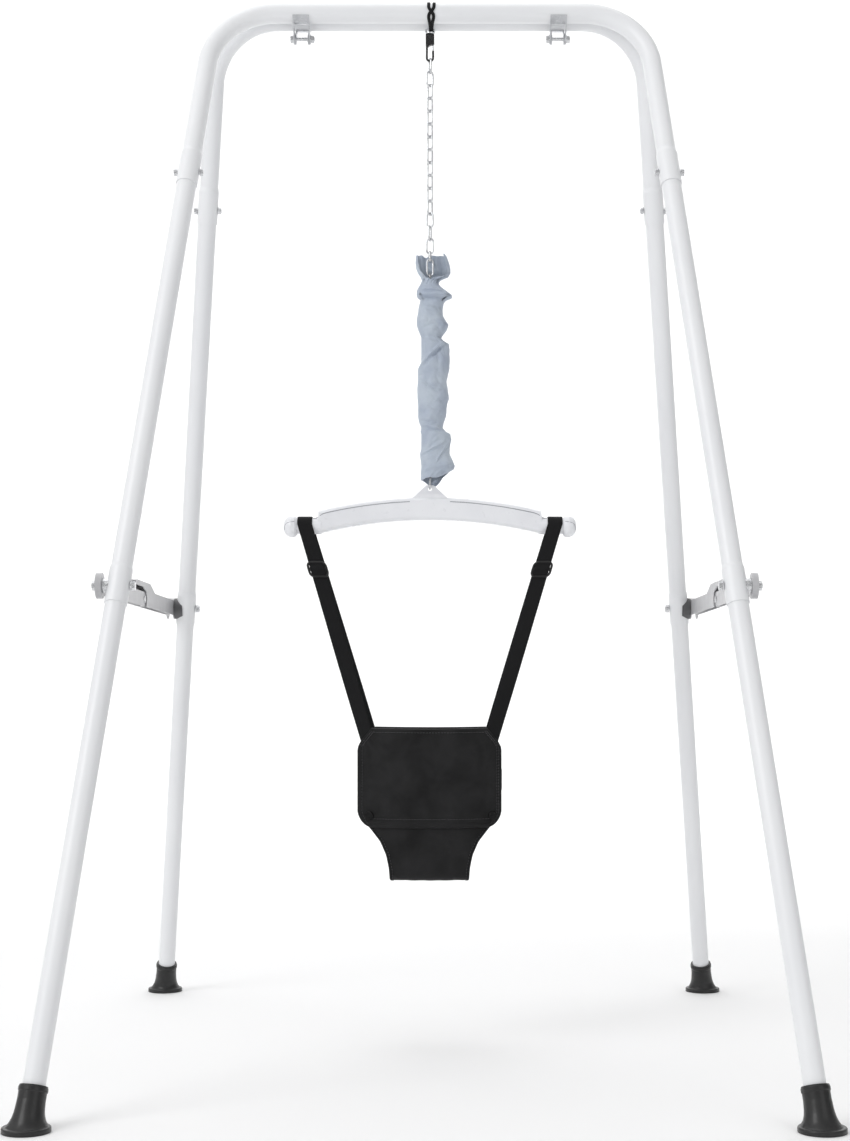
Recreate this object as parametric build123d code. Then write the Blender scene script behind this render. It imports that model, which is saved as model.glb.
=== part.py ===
from build123d import *
import os
from math import sin, cos, tan, asin, acos, atan2, radians, degrees, pi, sqrt

# Baby activity jumper: a folding A-frame stand of white steel tube and, under its
# top bars, a sling, swivel snap hook, chain, spring in a fabric sleeve, spreader
# bar and harness.  Millimetres.  Origin: centre of the footprint, on the floor.
# -Y is the front, +Z is up, +X is the right-hand side seen from the front.

# ---------------------------------------------------------------- driving sizes
HEIGHT = 1400.0        # floor to the top of the top bars
TUBE_OD = 25.4         # stand tube
TUBE_WALL = 1.2
SOCKET_OD = 27.8       # swaged socket over the next tube
SOCKET_LEN = 45.0
INSERT = 40.0          # length of the tube end inside the socket
BAR_Y = 15.0           # half the distance between the two top bar axes
FOOT_X, FOOT_Y = 432.0, 500.0
CORNER_X = 287.0       # where the leg line would meet the bar line
BEND_R = 90.0
SEAM_UP_Z, SEAM_MID_Z = 1135.0, 583.0
BOLT_UP = 18.0         # upper joint bolt above its seam
FOLD_Z = 1358.0        # fold axis, along X
BRACKET_X = 172.0
BRACE_Z = 605.0        # brace pivots
ELBOW_Y = 18.0
LINK_H = 20.0
LOBE_R = 15.5
BOLT_D = 6.0
CHAIN_LINKS, CHAIN_PITCH, CHAIN_WIRE, CHAIN_W = 15, 17.3, 2.6, 11.5
HOOK_TOP_Z, HOOK_BOTTOM_Z = 1364.6, 1327.3
EYE_Z = 1371.6         # axis that the swivel eye swings on
SADDLE_X, SADDLE_Z, SADDLE_R = 168.0, 702.5, 11.0
BAR_HALF, BAR_T = 197.0, 19.0
STRAP_W, STRAP_T = 20.0, 1.6
PANEL_W, PANEL_Z0, PANEL_Z1, PANEL_T = 190.0, 301.0, 432.0, 5.0
PANEL_R, PANEL_Y = 230.0, 76.0      # plan radius of the panel and its middle's distance from the axis
CROTCH_Z = 231.0
SPRING_OD, SPRING_WIRE = 21.0, 2.8

R = TUBE_OD / 2
RI = R - TUBE_WALL
SR = SOCKET_OD / 2
SRI = R + 0.1
BAR_Z = HEIGHT - R

os.makedirs("parts", exist_ok=True)


def save(shape, name):
    export_step(shape, "parts/" + name + ".step")


def group(*solids):
    """Several separate solids in one node."""
    out = []
    for s in solids:
        out += list(s.solids())
    return out[0] if len(out) == 1 else Compound(children=out)


def leg(side, fr, z):
    """A point on a leg's axis at height z.  side is -1 or 1 in X, fr is -1 front or 1 rear."""
    k = 1 - z / BAR_Z
    return Vector(side * (CORNER_X + (FOOT_X - CORNER_X) * k), fr * (BAR_Y + (FOOT_Y - BAR_Y) * k), z)


def leg_dir(side, fr):
    return (leg(side, fr, 100) - leg(side, fr, 0)).normalized()


def rod(a, b, r):
    a, b = Vector(a), Vector(b)
    d = b - a
    return extrude(Plane(origin=a, z_dir=d.normalized()) * Circle(r), d.length)


def cone(a, b, ra, rb):
    a, b = Vector(a), Vector(b)
    d = (b - a).normalized()
    return loft([Plane(origin=a, z_dir=d) * Circle(ra), Plane(origin=b, z_dir=d) * Circle(rb)])


def xrod(x0, x1, y, z, r):
    return rod((x0, y, z), (x1, y, z), r)


def hexrod(x0, x1, y, z, across):
    p = Plane(origin=(x0, y, z), z_dir=(1 if x1 > x0 else -1, 0, 0))
    return extrude(p * RegularPolygon(across / sqrt(3), 6), abs(x1 - x0))


def block(x0, x1, y0, y1, z0, z1):
    return Pos((x0 + x1) / 2, (y0 + y1) / 2, (z0 + z1) / 2) * Box(x1 - x0, y1 - y0, z1 - z0)


def yz(x0, x1, sketch):
    """A sketch drawn in local (y, z) and extruded from x0 to x1."""
    p = Plane(origin=(x0, 0, 0), x_dir=(0, 1, 0), z_dir=(1, 0, 0))
    return extrude(p * sketch, x1 - x0, dir=(1, 0, 0))


def xz(y0, y1, sketch):
    """A sketch drawn in (x, z) and extruded from y1 down to y0."""
    p = Plane(origin=(0, y1, 0), x_dir=(1, 0, 0), z_dir=(0, -1, 0))
    return extrude(p * sketch, y1 - y0, dir=(0, -1, 0))


def disc(y, z, r):
    return Pos(y, z) * Circle(r)


# ---------------------------------------------------------------- stand tubes
def top_tube(fr):
    """The bent top tube, front one first: bar, two bends, two leg ends with swaged sockets."""
    pts = [leg(-1, fr, SEAM_UP_Z), leg(-1, fr, BAR_Z), leg(1, fr, BAR_Z), leg(1, fr, SEAM_UP_Z)]
    path = FilletPolyline(*pts, radius=BEND_R)
    start = Plane(origin=pts[0], z_dir=leg_dir(-1, fr))
    body = sweep(start * Circle(R), path)
    bore = sweep(start * Circle(RI), path)
    for s in (-1, 1):
        d = leg_dir(s, fr)
        p = leg(s, fr, SEAM_UP_Z)
        body += rod(p, p + d * SOCKET_LEN, SR)
        body += cone(p + d * SOCKET_LEN, p + d * (SOCKET_LEN + 5), SR, R)
    for s in (-1, 1):
        d = leg_dir(s, fr)
        p = leg(s, fr, SEAM_UP_Z)
        body -= rod(p - d * 1, p + d * (SOCKET_LEN - 1), SRI)
        b = p + d * BOLT_UP
        body -= xrod(b.X - 30, b.X + 30, b.Y, b.Z, 2.6)
    return body - bore


def middle_leg(s, fr):
    d = leg_dir(s, fr)
    a, b = leg(s, fr, SEAM_MID_Z), leg(s, fr, SEAM_UP_Z) + d * INSERT
    t = rod(a, b, R) + rod(a, a + d * SOCKET_LEN, SR) + cone(a + d * SOCKET_LEN, a + d * (SOCKET_LEN + 5), SR, R)
    t -= rod(a - d, b + d, RI)
    t -= rod(a - d, a + d * (SOCKET_LEN - 1), SRI)
    h = leg(s, fr, SEAM_UP_Z) + d * BOLT_UP
    t -= xrod(h.X - 30, h.X + 30, h.Y, h.Z, 2.6)
    h = leg(s, fr, BRACE_Z)
    return t - xrod(h.X - 30, h.X + 30, h.Y, h.Z, BOLT_D / 2 + 0.1)


def lower_leg(s, fr):
    d = leg_dir(s, fr)
    a, b = leg(s, fr, 0) + d * 9, leg(s, fr, SEAM_MID_Z) + d * INSERT
    t = rod(a, b, R) - rod(a - d, b + d, RI)
    h = leg(s, fr, BRACE_Z)
    return t - xrod(h.X - 30, h.X + 30, h.Y, h.Z, BOLT_D / 2 + 0.1)


def foot(s, fr):
    """A rubber bell foot: level round base, concave bell, collar in line with the leg."""
    d = leg_dir(s, fr)
    c = leg(s, fr, 0)

    def at(t, r, tilt, z=None):
        """A circle whose centre is t along the leg; tilt 0 is level and 1 is square to the leg."""
        n = (Vector(0, 0, 1) * (1 - tilt) + d * tilt).normalized()
        o = c + d * t
        return Plane(origin=o, z_dir=n) * Circle(r)
    rim = Pos(c.X, c.Y, 3) * Cylinder(27.0, 6.0)
    rim = fillet(rim.edges().group_by(Axis.Z)[-1], 2.0)
    bell = loft([at(5.6, 24.6, 0.0), at(9.5, 21.0, 0.15), at(16, 18.0, 0.4), at(25, 16.3, 0.8), at(34, 15.6, 1.0)])
    collar = rod(c + d * 33.5, c + d * 50, 15.6)
    bead = cone(c + d * 42.5, c + d * 44, 15.6, 16.4) + rod(c + d * 44, c + d * 47.6, 16.4) + cone(c + d * 47.6, c + d * 49.2, 16.4, 15.7)
    body = rim + bell + collar + bead
    return body - rod(c + d * 8.9, c + d * 80, R + 0.02)


for fr, word in ((-1, "front"), (1, "rear")):
    save(top_tube(fr), word + "_top_tube")
    for s, sw in ((-1, "left"), (1, "right")):
        save(middle_leg(s, fr), f"{word}_middle_leg_{sw}")
        save(lower_leg(s, fr), f"{word}_lower_leg_{sw}")
        save(foot(s, fr), f"{word}_foot_{sw}")

# upper joint bolts and nuts: along X, head outside, nut inside
for fr, word in ((-1, "front"), (1, "rear")):
    bolts, nuts = [], []
    for s in (-1, 1):
        p = leg(s, fr, SEAM_UP_Z) + leg_dir(s, fr) * BOLT_UP
        out, inn = p.X + s * (SR + 0.7), p.X - s * (SR + 0.7)
        shank = xrod(inn - s * 4.6, out, p.Y, p.Z, 2.5)
        head = xrod(out, out + s * 1.0, p.Y, p.Z, 5.0) + hexrod(out + s * 1.0, out + s * 4.2, p.Y, p.Z, 8.0)
        bolts.append(shank + head)
        nut = xrod(inn - s * 0.8, inn, p.Y, p.Z, 4.8) + hexrod(inn - s * 4.0, inn - s * 0.8, p.Y, p.Z, 8.0)
        nuts.append(nut - xrod(inn - s * 6, inn + s * 1, p.Y, p.Z, 2.52))
    save(group(*bolts), word + "_joint_bolts")
    save(group(*nuts), word + "_joint_nuts")


# ---------------------------------------------------------------- fold hinge brackets
def bracket(x, fr, half):
    """A pressed bracket welded under a top bar: curved web and two ears down to the fold bolt."""
    c_y, c_z = fr * BAR_Y, BAR_Z
    ring = [Vector(c_y + fr * (R + 1.5) * cos(radians(a)), c_z - (R + 1.5) * sin(radians(a))) for a in (30, 50, 70, 90)]
    pv = [Vector(7.0 * cos(radians(a)), FOLD_Z + 7.0 * sin(radians(a))) for a in range(0, 360, 20)]
    blank = make_hull(Polyline(*[(v.X, v.Y) for v in ring]).edges() + (disc(0, FOLD_Z, 7.0)).edges())
    ears = []
    for s in (-1, 1):
        e = yz(x + s * half - (1.5 if s > 0 else 0), x + s * half + (1.5 if s < 0 else 0), blank)
        ears.append(e)
    a0, a1 = (205, 285) if fr < 0 else (255, 335)
    sector = disc(c_y, c_z, R + 1.5) - disc(c_y, c_z, R)
    wedge = Polygon((c_y, c_z), (c_y + 60 * cos(radians(a0)), c_z + 60 * sin(radians(a0))),
                    (c_y + 60 * cos(radians((a0 + a1) / 2)), c_z + 60 * sin(radians((a0 + a1) / 2))),
                    (c_y + 60 * cos(radians(a1)), c_z + 60 * sin(radians(a1))), align=None)
    web = yz(x - half, x + half, sector & wedge)
    out = ears[0] + ears[1] + web
    out -= xrod(x - half - 5, x + half + 5, c_y, c_z, R)
    return out - xrod(x - half - 5, x + half + 5, 0, FOLD_Z, 2.55)


save(group(*[bracket(x, -1, 11.0) for x in (-BRACKET_X, BRACKET_X)]), "front_hinge_brackets")
save(group(*[bracket(x, 1, 9.2) for x in (-BRACKET_X, BRACKET_X)]), "rear_hinge_brackets")

bolts, nuts = [], []
for x in (-BRACKET_X, BRACKET_X):
    b = xrod(x - 11.1, x + 16.8, 0, FOLD_Z, 2.5) + xrod(x - 12.1, x - 11.1, 0, FOLD_Z, 5.6) + hexrod(x - 15.6, x - 12.1, 0, FOLD_Z, 8.6)
    n = xrod(x + 11.1, x + 12.1, 0, FOLD_Z, 5.6) + hexrod(x + 12.1, x + 16.0, 0, FOLD_Z, 8.6)
    bolts.append(b)
    nuts.append(n - xrod(x + 10, x + 20, 0, FOLD_Z, 2.52))
save(group(*bolts), "fold_hinge_bolts")
save(group(*nuts), "fold_hinge_nuts")

# ---------------------------------------------------------------- side braces
PA = leg(-1, -1, BRACE_Z)            # front pivot of the left brace
XB, YA, YB = abs(PA.X), PA.Y, -PA.Y
BI = XB + 17.0                       # inner face of the rear link
BO = BI + 11.0                       # outer face of the rear link
FI, FO = BI + 1.9, BI + 9.1          # faces of the front link


def front_link(s):
    z0, z1 = BRACE_Z - LINK_H / 2, BRACE_Z + LINK_H / 2
    shape = Pos((YA + ELBOW_Y) / 2, BRACE_Z) * Rectangle(ELBOW_Y - YA, LINK_H) + disc(YA, BRACE_Z, LOBE_R) + disc(ELBOW_Y, BRACE_Z, LINK_H / 2)
    body = yz(FI, FO, shape)
    body -= block(FI + 1.5, FO - 1.5, YA + 18, ELBOW_Y - 12, z0 - 10, z1 - 1.5)
    body -= xrod(FI - 5, FO + 5, YA, BRACE_Z, BOLT_D / 2 + 0.05)
    body -= xrod(FI - 5, FO + 5, ELBOW_Y, BRACE_Z, 3.0)
    return body if s > 0 else mirror(body, about=Plane.YZ)


HOOD = 11.0


def rear_link(s):
    z0, z1 = BRACE_Z - LINK_H / 2, BRACE_Z + 11.8
    top = Polygon((-62, z0), (YB, z0), (YB, z1), (ELBOW_Y + 82, z1), (ELBOW_Y + 40, z1 + HOOD), (-50, z1 + HOOD), (-62, z1 + HOOD - 10), align=None)
    shape = top + disc(YB, BRACE_Z, LOBE_R)
    body = yz(BI, BO, shape)
    t = 1.5
    pocket = Polygon((-90, z0 - 20), (YB + 40, z0 - 20), (YB + 40, z1 - t), (ELBOW_Y + 81.6, z1 - t), (ELBOW_Y + 39.6, z1 + HOOD - t), (-90, z1 + HOOD - t), align=None)
    body -= yz(BI + t, BO - t, pocket)
    # the inner flange is cut back in a C round the rounded end of the front link
    cut = Polygon((-90, z0 - 20), (ELBOW_Y, z0 - 20), (ELBOW_Y, z1 - 0.2), (ELBOW_Y - 20, z1 + 4), (-90, z1 + 4), align=None) + disc(ELBOW_Y, BRACE_Z, 12.4)
    inner = yz(BI - 1, BI + t, cut)
    body -= inner
    body -= xrod(BI - 5, BO + 5, ELBOW_Y, BRACE_Z, 3.05)
    body -= xrod(BI - 5, BO + 5, YB, BRACE_Z, 3.04)
    return body if s > 0 else mirror(body, about=Plane.YZ)


def side(shape, s):
    return shape if s > 0 else mirror(shape, about=Plane.YZ)


for s, sw in ((-1, "left"), (1, "right")):
    save(front_link(s), "front_brace_link_" + sw)
    save(rear_link(s), "rear_brace_link_" + sw)
    # elbow rivet, fast in the front link and running in the rear link's outer flange
    rv = xrod(FI - 1.2, BO + 0.2, ELBOW_Y, BRACE_Z, 3.0) + xrod(FI - 1.2, FI, ELBOW_Y, BRACE_Z, 5.0) + xrod(BO + 0.2, BO + 2.2, ELBOW_Y, BRACE_Z, 5.5)
    save(side(rv, s), "brace_elbow_rivet_" + sw)
    # rivet through the rear link's leg end; its stub in the leg saddle is the open pivot
    rv = xrod(BI, BO, YB, BRACE_Z, 3.0) + xrod(BO, BO + 2.0, YB, BRACE_Z, 5.5)
    save(side(rv, s), "brace_end_rivet_" + sw)

bolts, nuts, saddles = [], [], []
for s in (-1, 1):
    y = YA
    sh = xrod(XB - SR - 0.8, FO + 6.2, y, BRACE_Z, BOLT_D / 2) + xrod(XB - SR - 2.0, XB - SR - 0.8, y, BRACE_Z, 6.0) + hexrod(XB - SR - 6.0, XB - SR - 2.0, y, BRACE_Z, 10.0)
    bolts.append(side(sh, s))
    nt = xrod(FO + 0.3, FO + 1.3, y, BRACE_Z, 6.0) + hexrod(FO + 1.3, FO + 5.3, y, BRACE_Z, 10.0) - xrod(FO, FO + 7, y, BRACE_Z, BOLT_D / 2 + 0.02)
    nuts.append(side(nt, s))
    sd = xrod(XB + 4, FI - 0.25, y, BRACE_Z, 9.0) - xrod(XB, FI + 1, y, BRACE_Z, BOLT_D / 2 + 0.02)
    sd -= rod(leg(1, -1, BRACE_Z - 60), leg(1, -1, BRACE_Z + 60), SR + 0.02)
    saddles.append(side(sd, s))
save(group(*bolts), "front_brace_bolts")
save(group(*nuts), "front_brace_nuts")
save(group(*saddles), "front_brace_spacers")

bolts, nuts, saddles = [], [], []
for s in (-1, 1):
    y = YB
    sh = xrod(XB - SR - 6.5, BI - 0.8, y, BRACE_Z, BOLT_D / 2)
    bolts.append(side(sh, s))
    nt = xrod(XB - SR - 2.0, XB - SR - 0.8, y, BRACE_Z, 6.0) + hexrod(XB - SR - 6.0, XB - SR - 2.0, y, BRACE_Z, 10.0) - xrod(XB - SR - 9, XB, y, BRACE_Z, BOLT_D / 2 + 0.02)
    nuts.append(side(nt, s))
    sd = xrod(XB + 4, BI - 0.4, y, BRACE_Z, LOBE_R) - xrod(XB, BI + 1, y, BRACE_Z, BOLT_D / 2 + 0.02)
    sd -= rod(leg(1, 1, BRACE_Z - 60), leg(1, 1, BRACE_Z + 60), SR + 0.02)
    sd -= rod(leg(1, 1, SEAM_MID_Z - 60), leg(1, 1, SEAM_MID_Z), R + 1.2)
    saddles.append(side(sd, s))
save(group(*bolts), "rear_brace_bolts")
save(group(*nuts), "rear_brace_nuts")
save(group(*saddles), "rear_brace_saddles")

# ---------------------------------------------------------------- hanging sling
g = 0.3
inner = make_hull((disc(-BAR_Y, BAR_Z, R + g)).edges() + (disc(BAR_Y, BAR_Z, R + g)).edges() + (disc(0, EYE_Z, 1.5)).edges())
outer = make_hull((disc(-BAR_Y, BAR_Z, R + g + 1.3)).edges() + (disc(BAR_Y, BAR_Z, R + g + 1.3)).edges() + (disc(0, EYE_Z, 2.7)).edges())
sling = yz(-7.2, 7.2, outer - inner)
shape = Polygon((-7.2, 1420), (-7.2, 1378.0), (-3.4, 1372.8), (-3.4, 1360), (3.4, 1360), (3.4, 1372.8), (7.2, 1378.0), (7.2, 1420), align=None)
sling = sling & xz(-40, 40, shape)
save(sling, "hanging_sling")


# ---------------------------------------------------------------- swivel and snap hook
def ring_path(w, h, zc):
    """A stadium centreline in the X-Z plane, w wide and h high, centred at height zc."""
    r = w / 2
    st = h / 2 - r
    return Wire([
        ThreePointArc((-r, 0, zc + st), (0, 0, zc + st + r), (r, 0, zc + st)).edge(),
        Line((r, 0, zc + st), (r, 0, zc - st)).edge(),
        ThreePointArc((r, 0, zc - st), (0, 0, zc - st - r), (-r, 0, zc - st)).edge(),
        Line((-r, 0, zc - st), (-r, 0, zc + st)).edge(),
    ])


def ring(w, h, zc, wire, turn=0.0):
    """A closed oval link: outer width w, outer height h, round wire, turned about Z."""
    p = ring_path(w - wire, h - wire, zc)
    sec = Plane(origin=((w - wire) / 2, 0, zc), z_dir=(0, 0, -1)) * Circle(wire / 2)
    return Rot(0, 0, turn) * sweep(sec, p)


# swivel eye: wire eye over a small base that the hook's stud turns in
wire = 2.4
eye_r = 5.6
ec = 1.6               # corner radius of the eye
arc = Wire([
    Line((-eye_r, 0, 1365.6), (-eye_r, 0, EYE_Z - ec)).edge(),
    ThreePointArc((-eye_r, 0, EYE_Z - ec), (-eye_r + ec * (1 - cos(radians(45))), 0, EYE_Z - ec + ec * sin(radians(45))), (-eye_r + ec, 0, EYE_Z)).edge(),
    Line((-eye_r + ec, 0, EYE_Z), (eye_r - ec, 0, EYE_Z)).edge(),
    ThreePointArc((eye_r - ec, 0, EYE_Z), (eye_r - ec * (1 - cos(radians(45))), 0, EYE_Z - ec + ec * sin(radians(45))), (eye_r, 0, EYE_Z - ec)).edge(),
    Line((eye_r, 0, EYE_Z - ec), (eye_r, 0, 1365.6)).edge(),
])
eye = sweep(Plane(origin=(-eye_r, 0, 1365.6), z_dir=(0, 0, 1)) * Circle(wire / 2), arc)
base = Pos(0, 0, 1365.8) * Cylinder(6.0, 2.0)
base = fillet(base.edges(), 0.5)
eye = (eye + base) - rod((0, 0, 1360), (0, 0, 1370), 1.36)
save(eye, "swivel_eye")

# snap hook: flat body with a bore for the sliding bolt, and a J of round wire
hw = 4.2
body = block(-5.8, 5.8, -3.0, 3.0, 1348.0, HOOK_TOP_Z)
body = fillet(body.edges().filter_by(Axis.Y), 1.6)
body -= xz(-5, 5, Polygon((-2.4, 1346), (6.5, 1346), (6.5, 1351.0), (3.0, 1350.4), (-0.6, 1349.2), align=None))
jpath = Wire([
    Line((-hw, 0, 1349.5), (-hw, 0, HOOK_BOTTOM_Z + 1.5 + hw)).edge(),
    ThreePointArc((-hw, 0, HOOK_BOTTOM_Z + 1.5 + hw), (0, 0, HOOK_BOTTOM_Z + 1.5), (hw, 0, HOOK_BOTTOM_Z + 1.5 + hw)).edge(),
    Line((hw, 0, HOOK_BOTTOM_Z + 1.5 + hw), (hw, 0, 1341.6)).edge(),
])
jay = sweep(Plane(origin=(-hw, 0, 1349.5), z_dir=(0, 0, -1)) * Circle(1.5), jpath)
tip = Pos(hw, 0, 1341.6) * Sphere(1.5)
stud = rod((0, 0, 1363), (0, 0, 1367.2), 1.3) + rod((0, 0, 1367.0), (0, 0, 1368.3), 2.0)
hook = body + jay + tip + stud
hook -= rod((hw - 0.2, 0, 1346), (hw - 0.2, 0, 1362.5), 1.35)
hook -= block(hw - 0.95, hw + 0.55, 0, 4, 1352.8, 1362.5)
save(hook, "snap_hook")

# sliding bolt with its thumb stud, and its small return spring
sb = rod((hw - 0.2, 0, 1343.3), (hw - 0.2, 0, 1355.2), 1.25) + rod((hw - 0.2, 0, 1354.2), (hw - 0.2, 5.0, 1354.2), 0.6) + rod((hw - 0.2, 3.3, 1354.2), (hw - 0.2, 5.0, 1354.2), 1.6)
save(sb, "hook_bolt")
hs = rod((hw - 0.2, 0, 1355.3), (hw - 0.2, 0, 1362.4), 1.15) - rod((hw - 0.2, 0, 1355), (hw - 0.2, 0, 1363), 0.75)
save(hs, "hook_bolt_spring")

# ---------------------------------------------------------------- chain
LINK_IN = CHAIN_PITCH + 0.3
LINK_L = LINK_IN + 2 * CHAIN_WIRE
J_WIRE_Z = HOOK_BOTTOM_Z + 1.5
first_top = J_WIRE_Z + 1.5 + CHAIN_WIRE / 2 + 0.3       # wire centre of the first link's top
twist = [16, 30, 42, 45, 45, 45, 45, 45, 45, 45, 45, 50, 60, 71, 82]
centres, links = [], []
for i in range(CHAIN_LINKS):
    zc = first_top - (LINK_IN / 2 + CHAIN_WIRE / 2) - CHAIN_PITCH * i
    turn = (90 if i % 2 == 0 else 0) + twist[i]
    centres.append(zc)
    links.append(ring(CHAIN_W, LINK_L, zc, CHAIN_WIRE, turn))
SPLIT = 7
save(group(*links[:SPLIT]), "chain_upper")
save(group(*links[SPLIT:]), "chain_lower")
mid_pivot = centres[SPLIT - 1] - LINK_IN / 2 - CHAIN_WIRE / 2
last_bottom = centres[-1] - LINK_IN / 2 - CHAIN_WIRE / 2
print("chain pivots", round(J_WIRE_Z, 2), round(mid_pivot, 2), round(last_bottom, 2), "turns", 90 + twist[SPLIT - 1], 90 + twist[-1])

# quick link (connector) between the chain and the spring's ring
CW = 3.0
c_top = last_bottom + CHAIN_WIRE / 2 + CW / 2 + 0.3
c_bot = c_top - 14.4
connector = ring(11.0, c_top - c_bot + CW, (c_top + c_bot) / 2, CW, 90)
sleeve_nut = rod((0, 4.0, (c_top + c_bot) / 2 - 3.2), (0, 4.0, (c_top + c_bot) / 2 + 3.2), 2.3)
connector = connector + sleeve_nut
save(connector, "quick_link")
RW = 2.5
r_top = c_bot + CW / 2 + RW / 2 + 0.3
r_bot = 1038.0 + RW / 2
save(ring(10.4, r_top - r_bot + RW, (r_top + r_bot) / 2, RW), "spring_top_ring")
print("connector pivots", round(c_top, 2), round(c_bot, 2), "ring", round(r_top, 2), round(r_bot, 2))

# ---------------------------------------------------------------- extension spring and sleeve
COIL_TOP, COIL_BOT = 1012.0, 784.0
rc = (SPRING_OD - SPRING_WIRE) / 2
coil = Pos(0, 0, (COIL_TOP + COIL_BOT) / 2) * (Cylinder(SPRING_OD / 2, COIL_TOP - COIL_BOT) - Cylinder(SPRING_OD / 2 - SPRING_WIRE, COIL_TOP - COIL_BOT + 2))
h_top = r_bot + RW / 2 + SPRING_WIRE / 2 + 0.3          # wire centre where the top hook passes through the ring
low_ring_top = 771.0                                    # wire centre of the lower ring's top
h_low = low_ring_top - RW / 2 - SPRING_WIRE / 2 - 0.3


def end_hook(z_coil, z_eye, sgn, turn):
    """A spring end: an end plate wound in from the coil, a shank on the axis and a closed eye."""
    er = 4.6
    zc = z_eye - sgn * er
    bar_ = Pos(0, 0, z_coil + sgn * 0.0) * Box(2 * rc, 3.0, 3.0)
    return bar_ + rod((0, 0, z_coil), (0, 0, zc - sgn * er), 1.5) + Rot(0, 0, turn) * (Pos(0, 0, zc) * (Rot(90, 0, 0) * Torus(er, 1.5)))


spring = coil + end_hook(COIL_TOP - 1.5, h_top, 1, 90) + end_hook(COIL_BOT + 1.5, h_low, -1, 0)
print("spring solids", len(spring.solids()), "hook wires", round(h_top, 2), round(h_low, 2))
save(spring, "extension_spring")

# gathered fabric sleeve: ruffle above a tied neck, then a loose tube
prof = [(21.0, 1070.0), (22.5, 1058.0), (19.0, 1042.0), (12.0, 1029.0), (19.0, 1016.0), (21.0, 1003.0), (18.0, 985.0), (20.0, 930.0), (21.0, 860.0),
        (22.0, 800.0), (22.0, 766.0)]
in_off = 3.0
outp = [(x, z) for x, z in prof]
inp = [(max(x - in_off, 8.6) if z > 1016 else max(x - in_off, 14.5), z) for x, z in prof]
face = Polygon(*[(x, z) for x, z in outp + inp[::-1]], align=None)
sl = revolve(Plane.XZ * face, Axis.Z)
sl -= block(-8.5, 8.5, -40, -5, 1033, 1080)
save(sl, "spring_sleeve")

# lower ring: hangs on the spring's lower hook, goes through the spreader bar's lug
LUG_HOLE_Z, LUG_HOLE_R = 752.1, 2.6
l_bot = LUG_HOLE_Z + LUG_HOLE_R - RW / 2 - 0.95
print("bar pivot", round(l_bot, 2))
save(ring(13.0, low_ring_top - l_bot + RW, (low_ring_top + l_bot) / 2, RW, 90), "spring_lower_ring")


# ---------------------------------------------------------------- spreader bar
AR = 617.0
xe = 150.0
top_r, low_r = AR + 15, AR - 15
zc0 = 725.5 - AR
up = ThreePointArc((-xe, zc0 + sqrt(top_r ** 2 - xe ** 2)), (0, zc0 + top_r), (xe, zc0 + sqrt(top_r ** 2 - xe ** 2)))
lo = ThreePointArc((xe, zc0 + sqrt(low_r ** 2 - xe ** 2) + 0.6), (0, zc0 + low_r), (-xe, zc0 + sqrt(low_r ** 2 - xe ** 2) + 0.6))
outline = make_face([up.edge(), Line(up @ 1, lo @ 0).edge(), lo.edge(), Line(lo @ 1, up @ 0).edge()])
bar = xz(-BAR_T / 2, BAR_T / 2, outline)
bar = fillet(bar.edges().filter_by(lambda e: e.geom_type == GeomType.CIRCLE), 5.0)
lug = xz(-2.2, 2.2, Polygon((-27, 738), (27, 738), (20, 743.5), (9, 754.0), (5.0, 757.2), (-5.0, 757.2), (-9, 754.0), (-20, 743.5), align=None))
lug = fillet(lug.edges().filter_by(Axis.Y).group_by(Axis.Z)[-1], 2.5)
gusset = xz(-6.5, 6.5, Polygon((-27, 738), (27, 738), (20, 742.6), (8, 745.4), (-8, 745.4), (-20, 742.6), align=None))
bar += lug + gusset
bar -= rod((0, -10, LUG_HOLE_Z), (0, 10, LUG_HOLE_Z), LUG_HOLE_R)
for s in (-1, 1):
    neck = rod((s * 146, 0, SADDLE_Z), (s * 184, 0, SADDLE_Z), SADDLE_R)
    cap = revolve(Plane(origin=(0, 0, SADDLE_Z - 0.8), x_dir=(s, 0, 0), z_dir=(0, -s, 0)) * (
        Polygon((179.5, 0), (179.5, 12.2), (182.0, 14.0), (187.0, 14.4), (192.0, 12.6), (195.4, 9.0), (197.0, 4.0), (197.0, 0), align=None)),
        Axis((0, 0, SADDLE_Z - 0.8), (1, 0, 0)))
    bar = bar + neck + cap
save(bar, "spreader_bar")


# ---------------------------------------------------------------- seat panels
def arc_shell(fr, r_out, r_in, z0, z1):
    cy = fr * PANEL_Y - fr * PANEL_R
    return Pos(0, cy, (z0 + z1) / 2) * (Cylinder(r_out, z1 - z0) - Cylinder(r_in, z1 - z0 + 2))


def arc_y(x, r=PANEL_R):
    """Distance of a panel's middle surface from the X-Z plane at x."""
    return PANEL_Y - PANEL_R + sqrt(r * r - x * x)


hwid = PANEL_W / 2
flap = Polygon((-76, PANEL_Z1), (-91.5, 413), (-hwid, 402), (-hwid, 322), (-91, 312), (-84, 304.5), (-76, PANEL_Z0),
               (76, PANEL_Z0), (84, 304.5), (91, 312), (hwid, 322), (hwid, 402), (91.5, 413), (76, PANEL_Z1), align=None)


def panel(fr):
    sh = arc_shell(fr, PANEL_R + PANEL_T / 2, PANEL_R - PANEL_T / 2, PANEL_Z0 - 2, PANEL_Z1 + 2)
    keep = xz(0 if fr > 0 else -200, 200 if fr > 0 else 0, flap)
    return sh & keep


front_panel, back_panel = panel(-1), panel(1)
save(front_panel, "seat_front_panel")
save(back_panel, "seat_back_panel")

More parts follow.
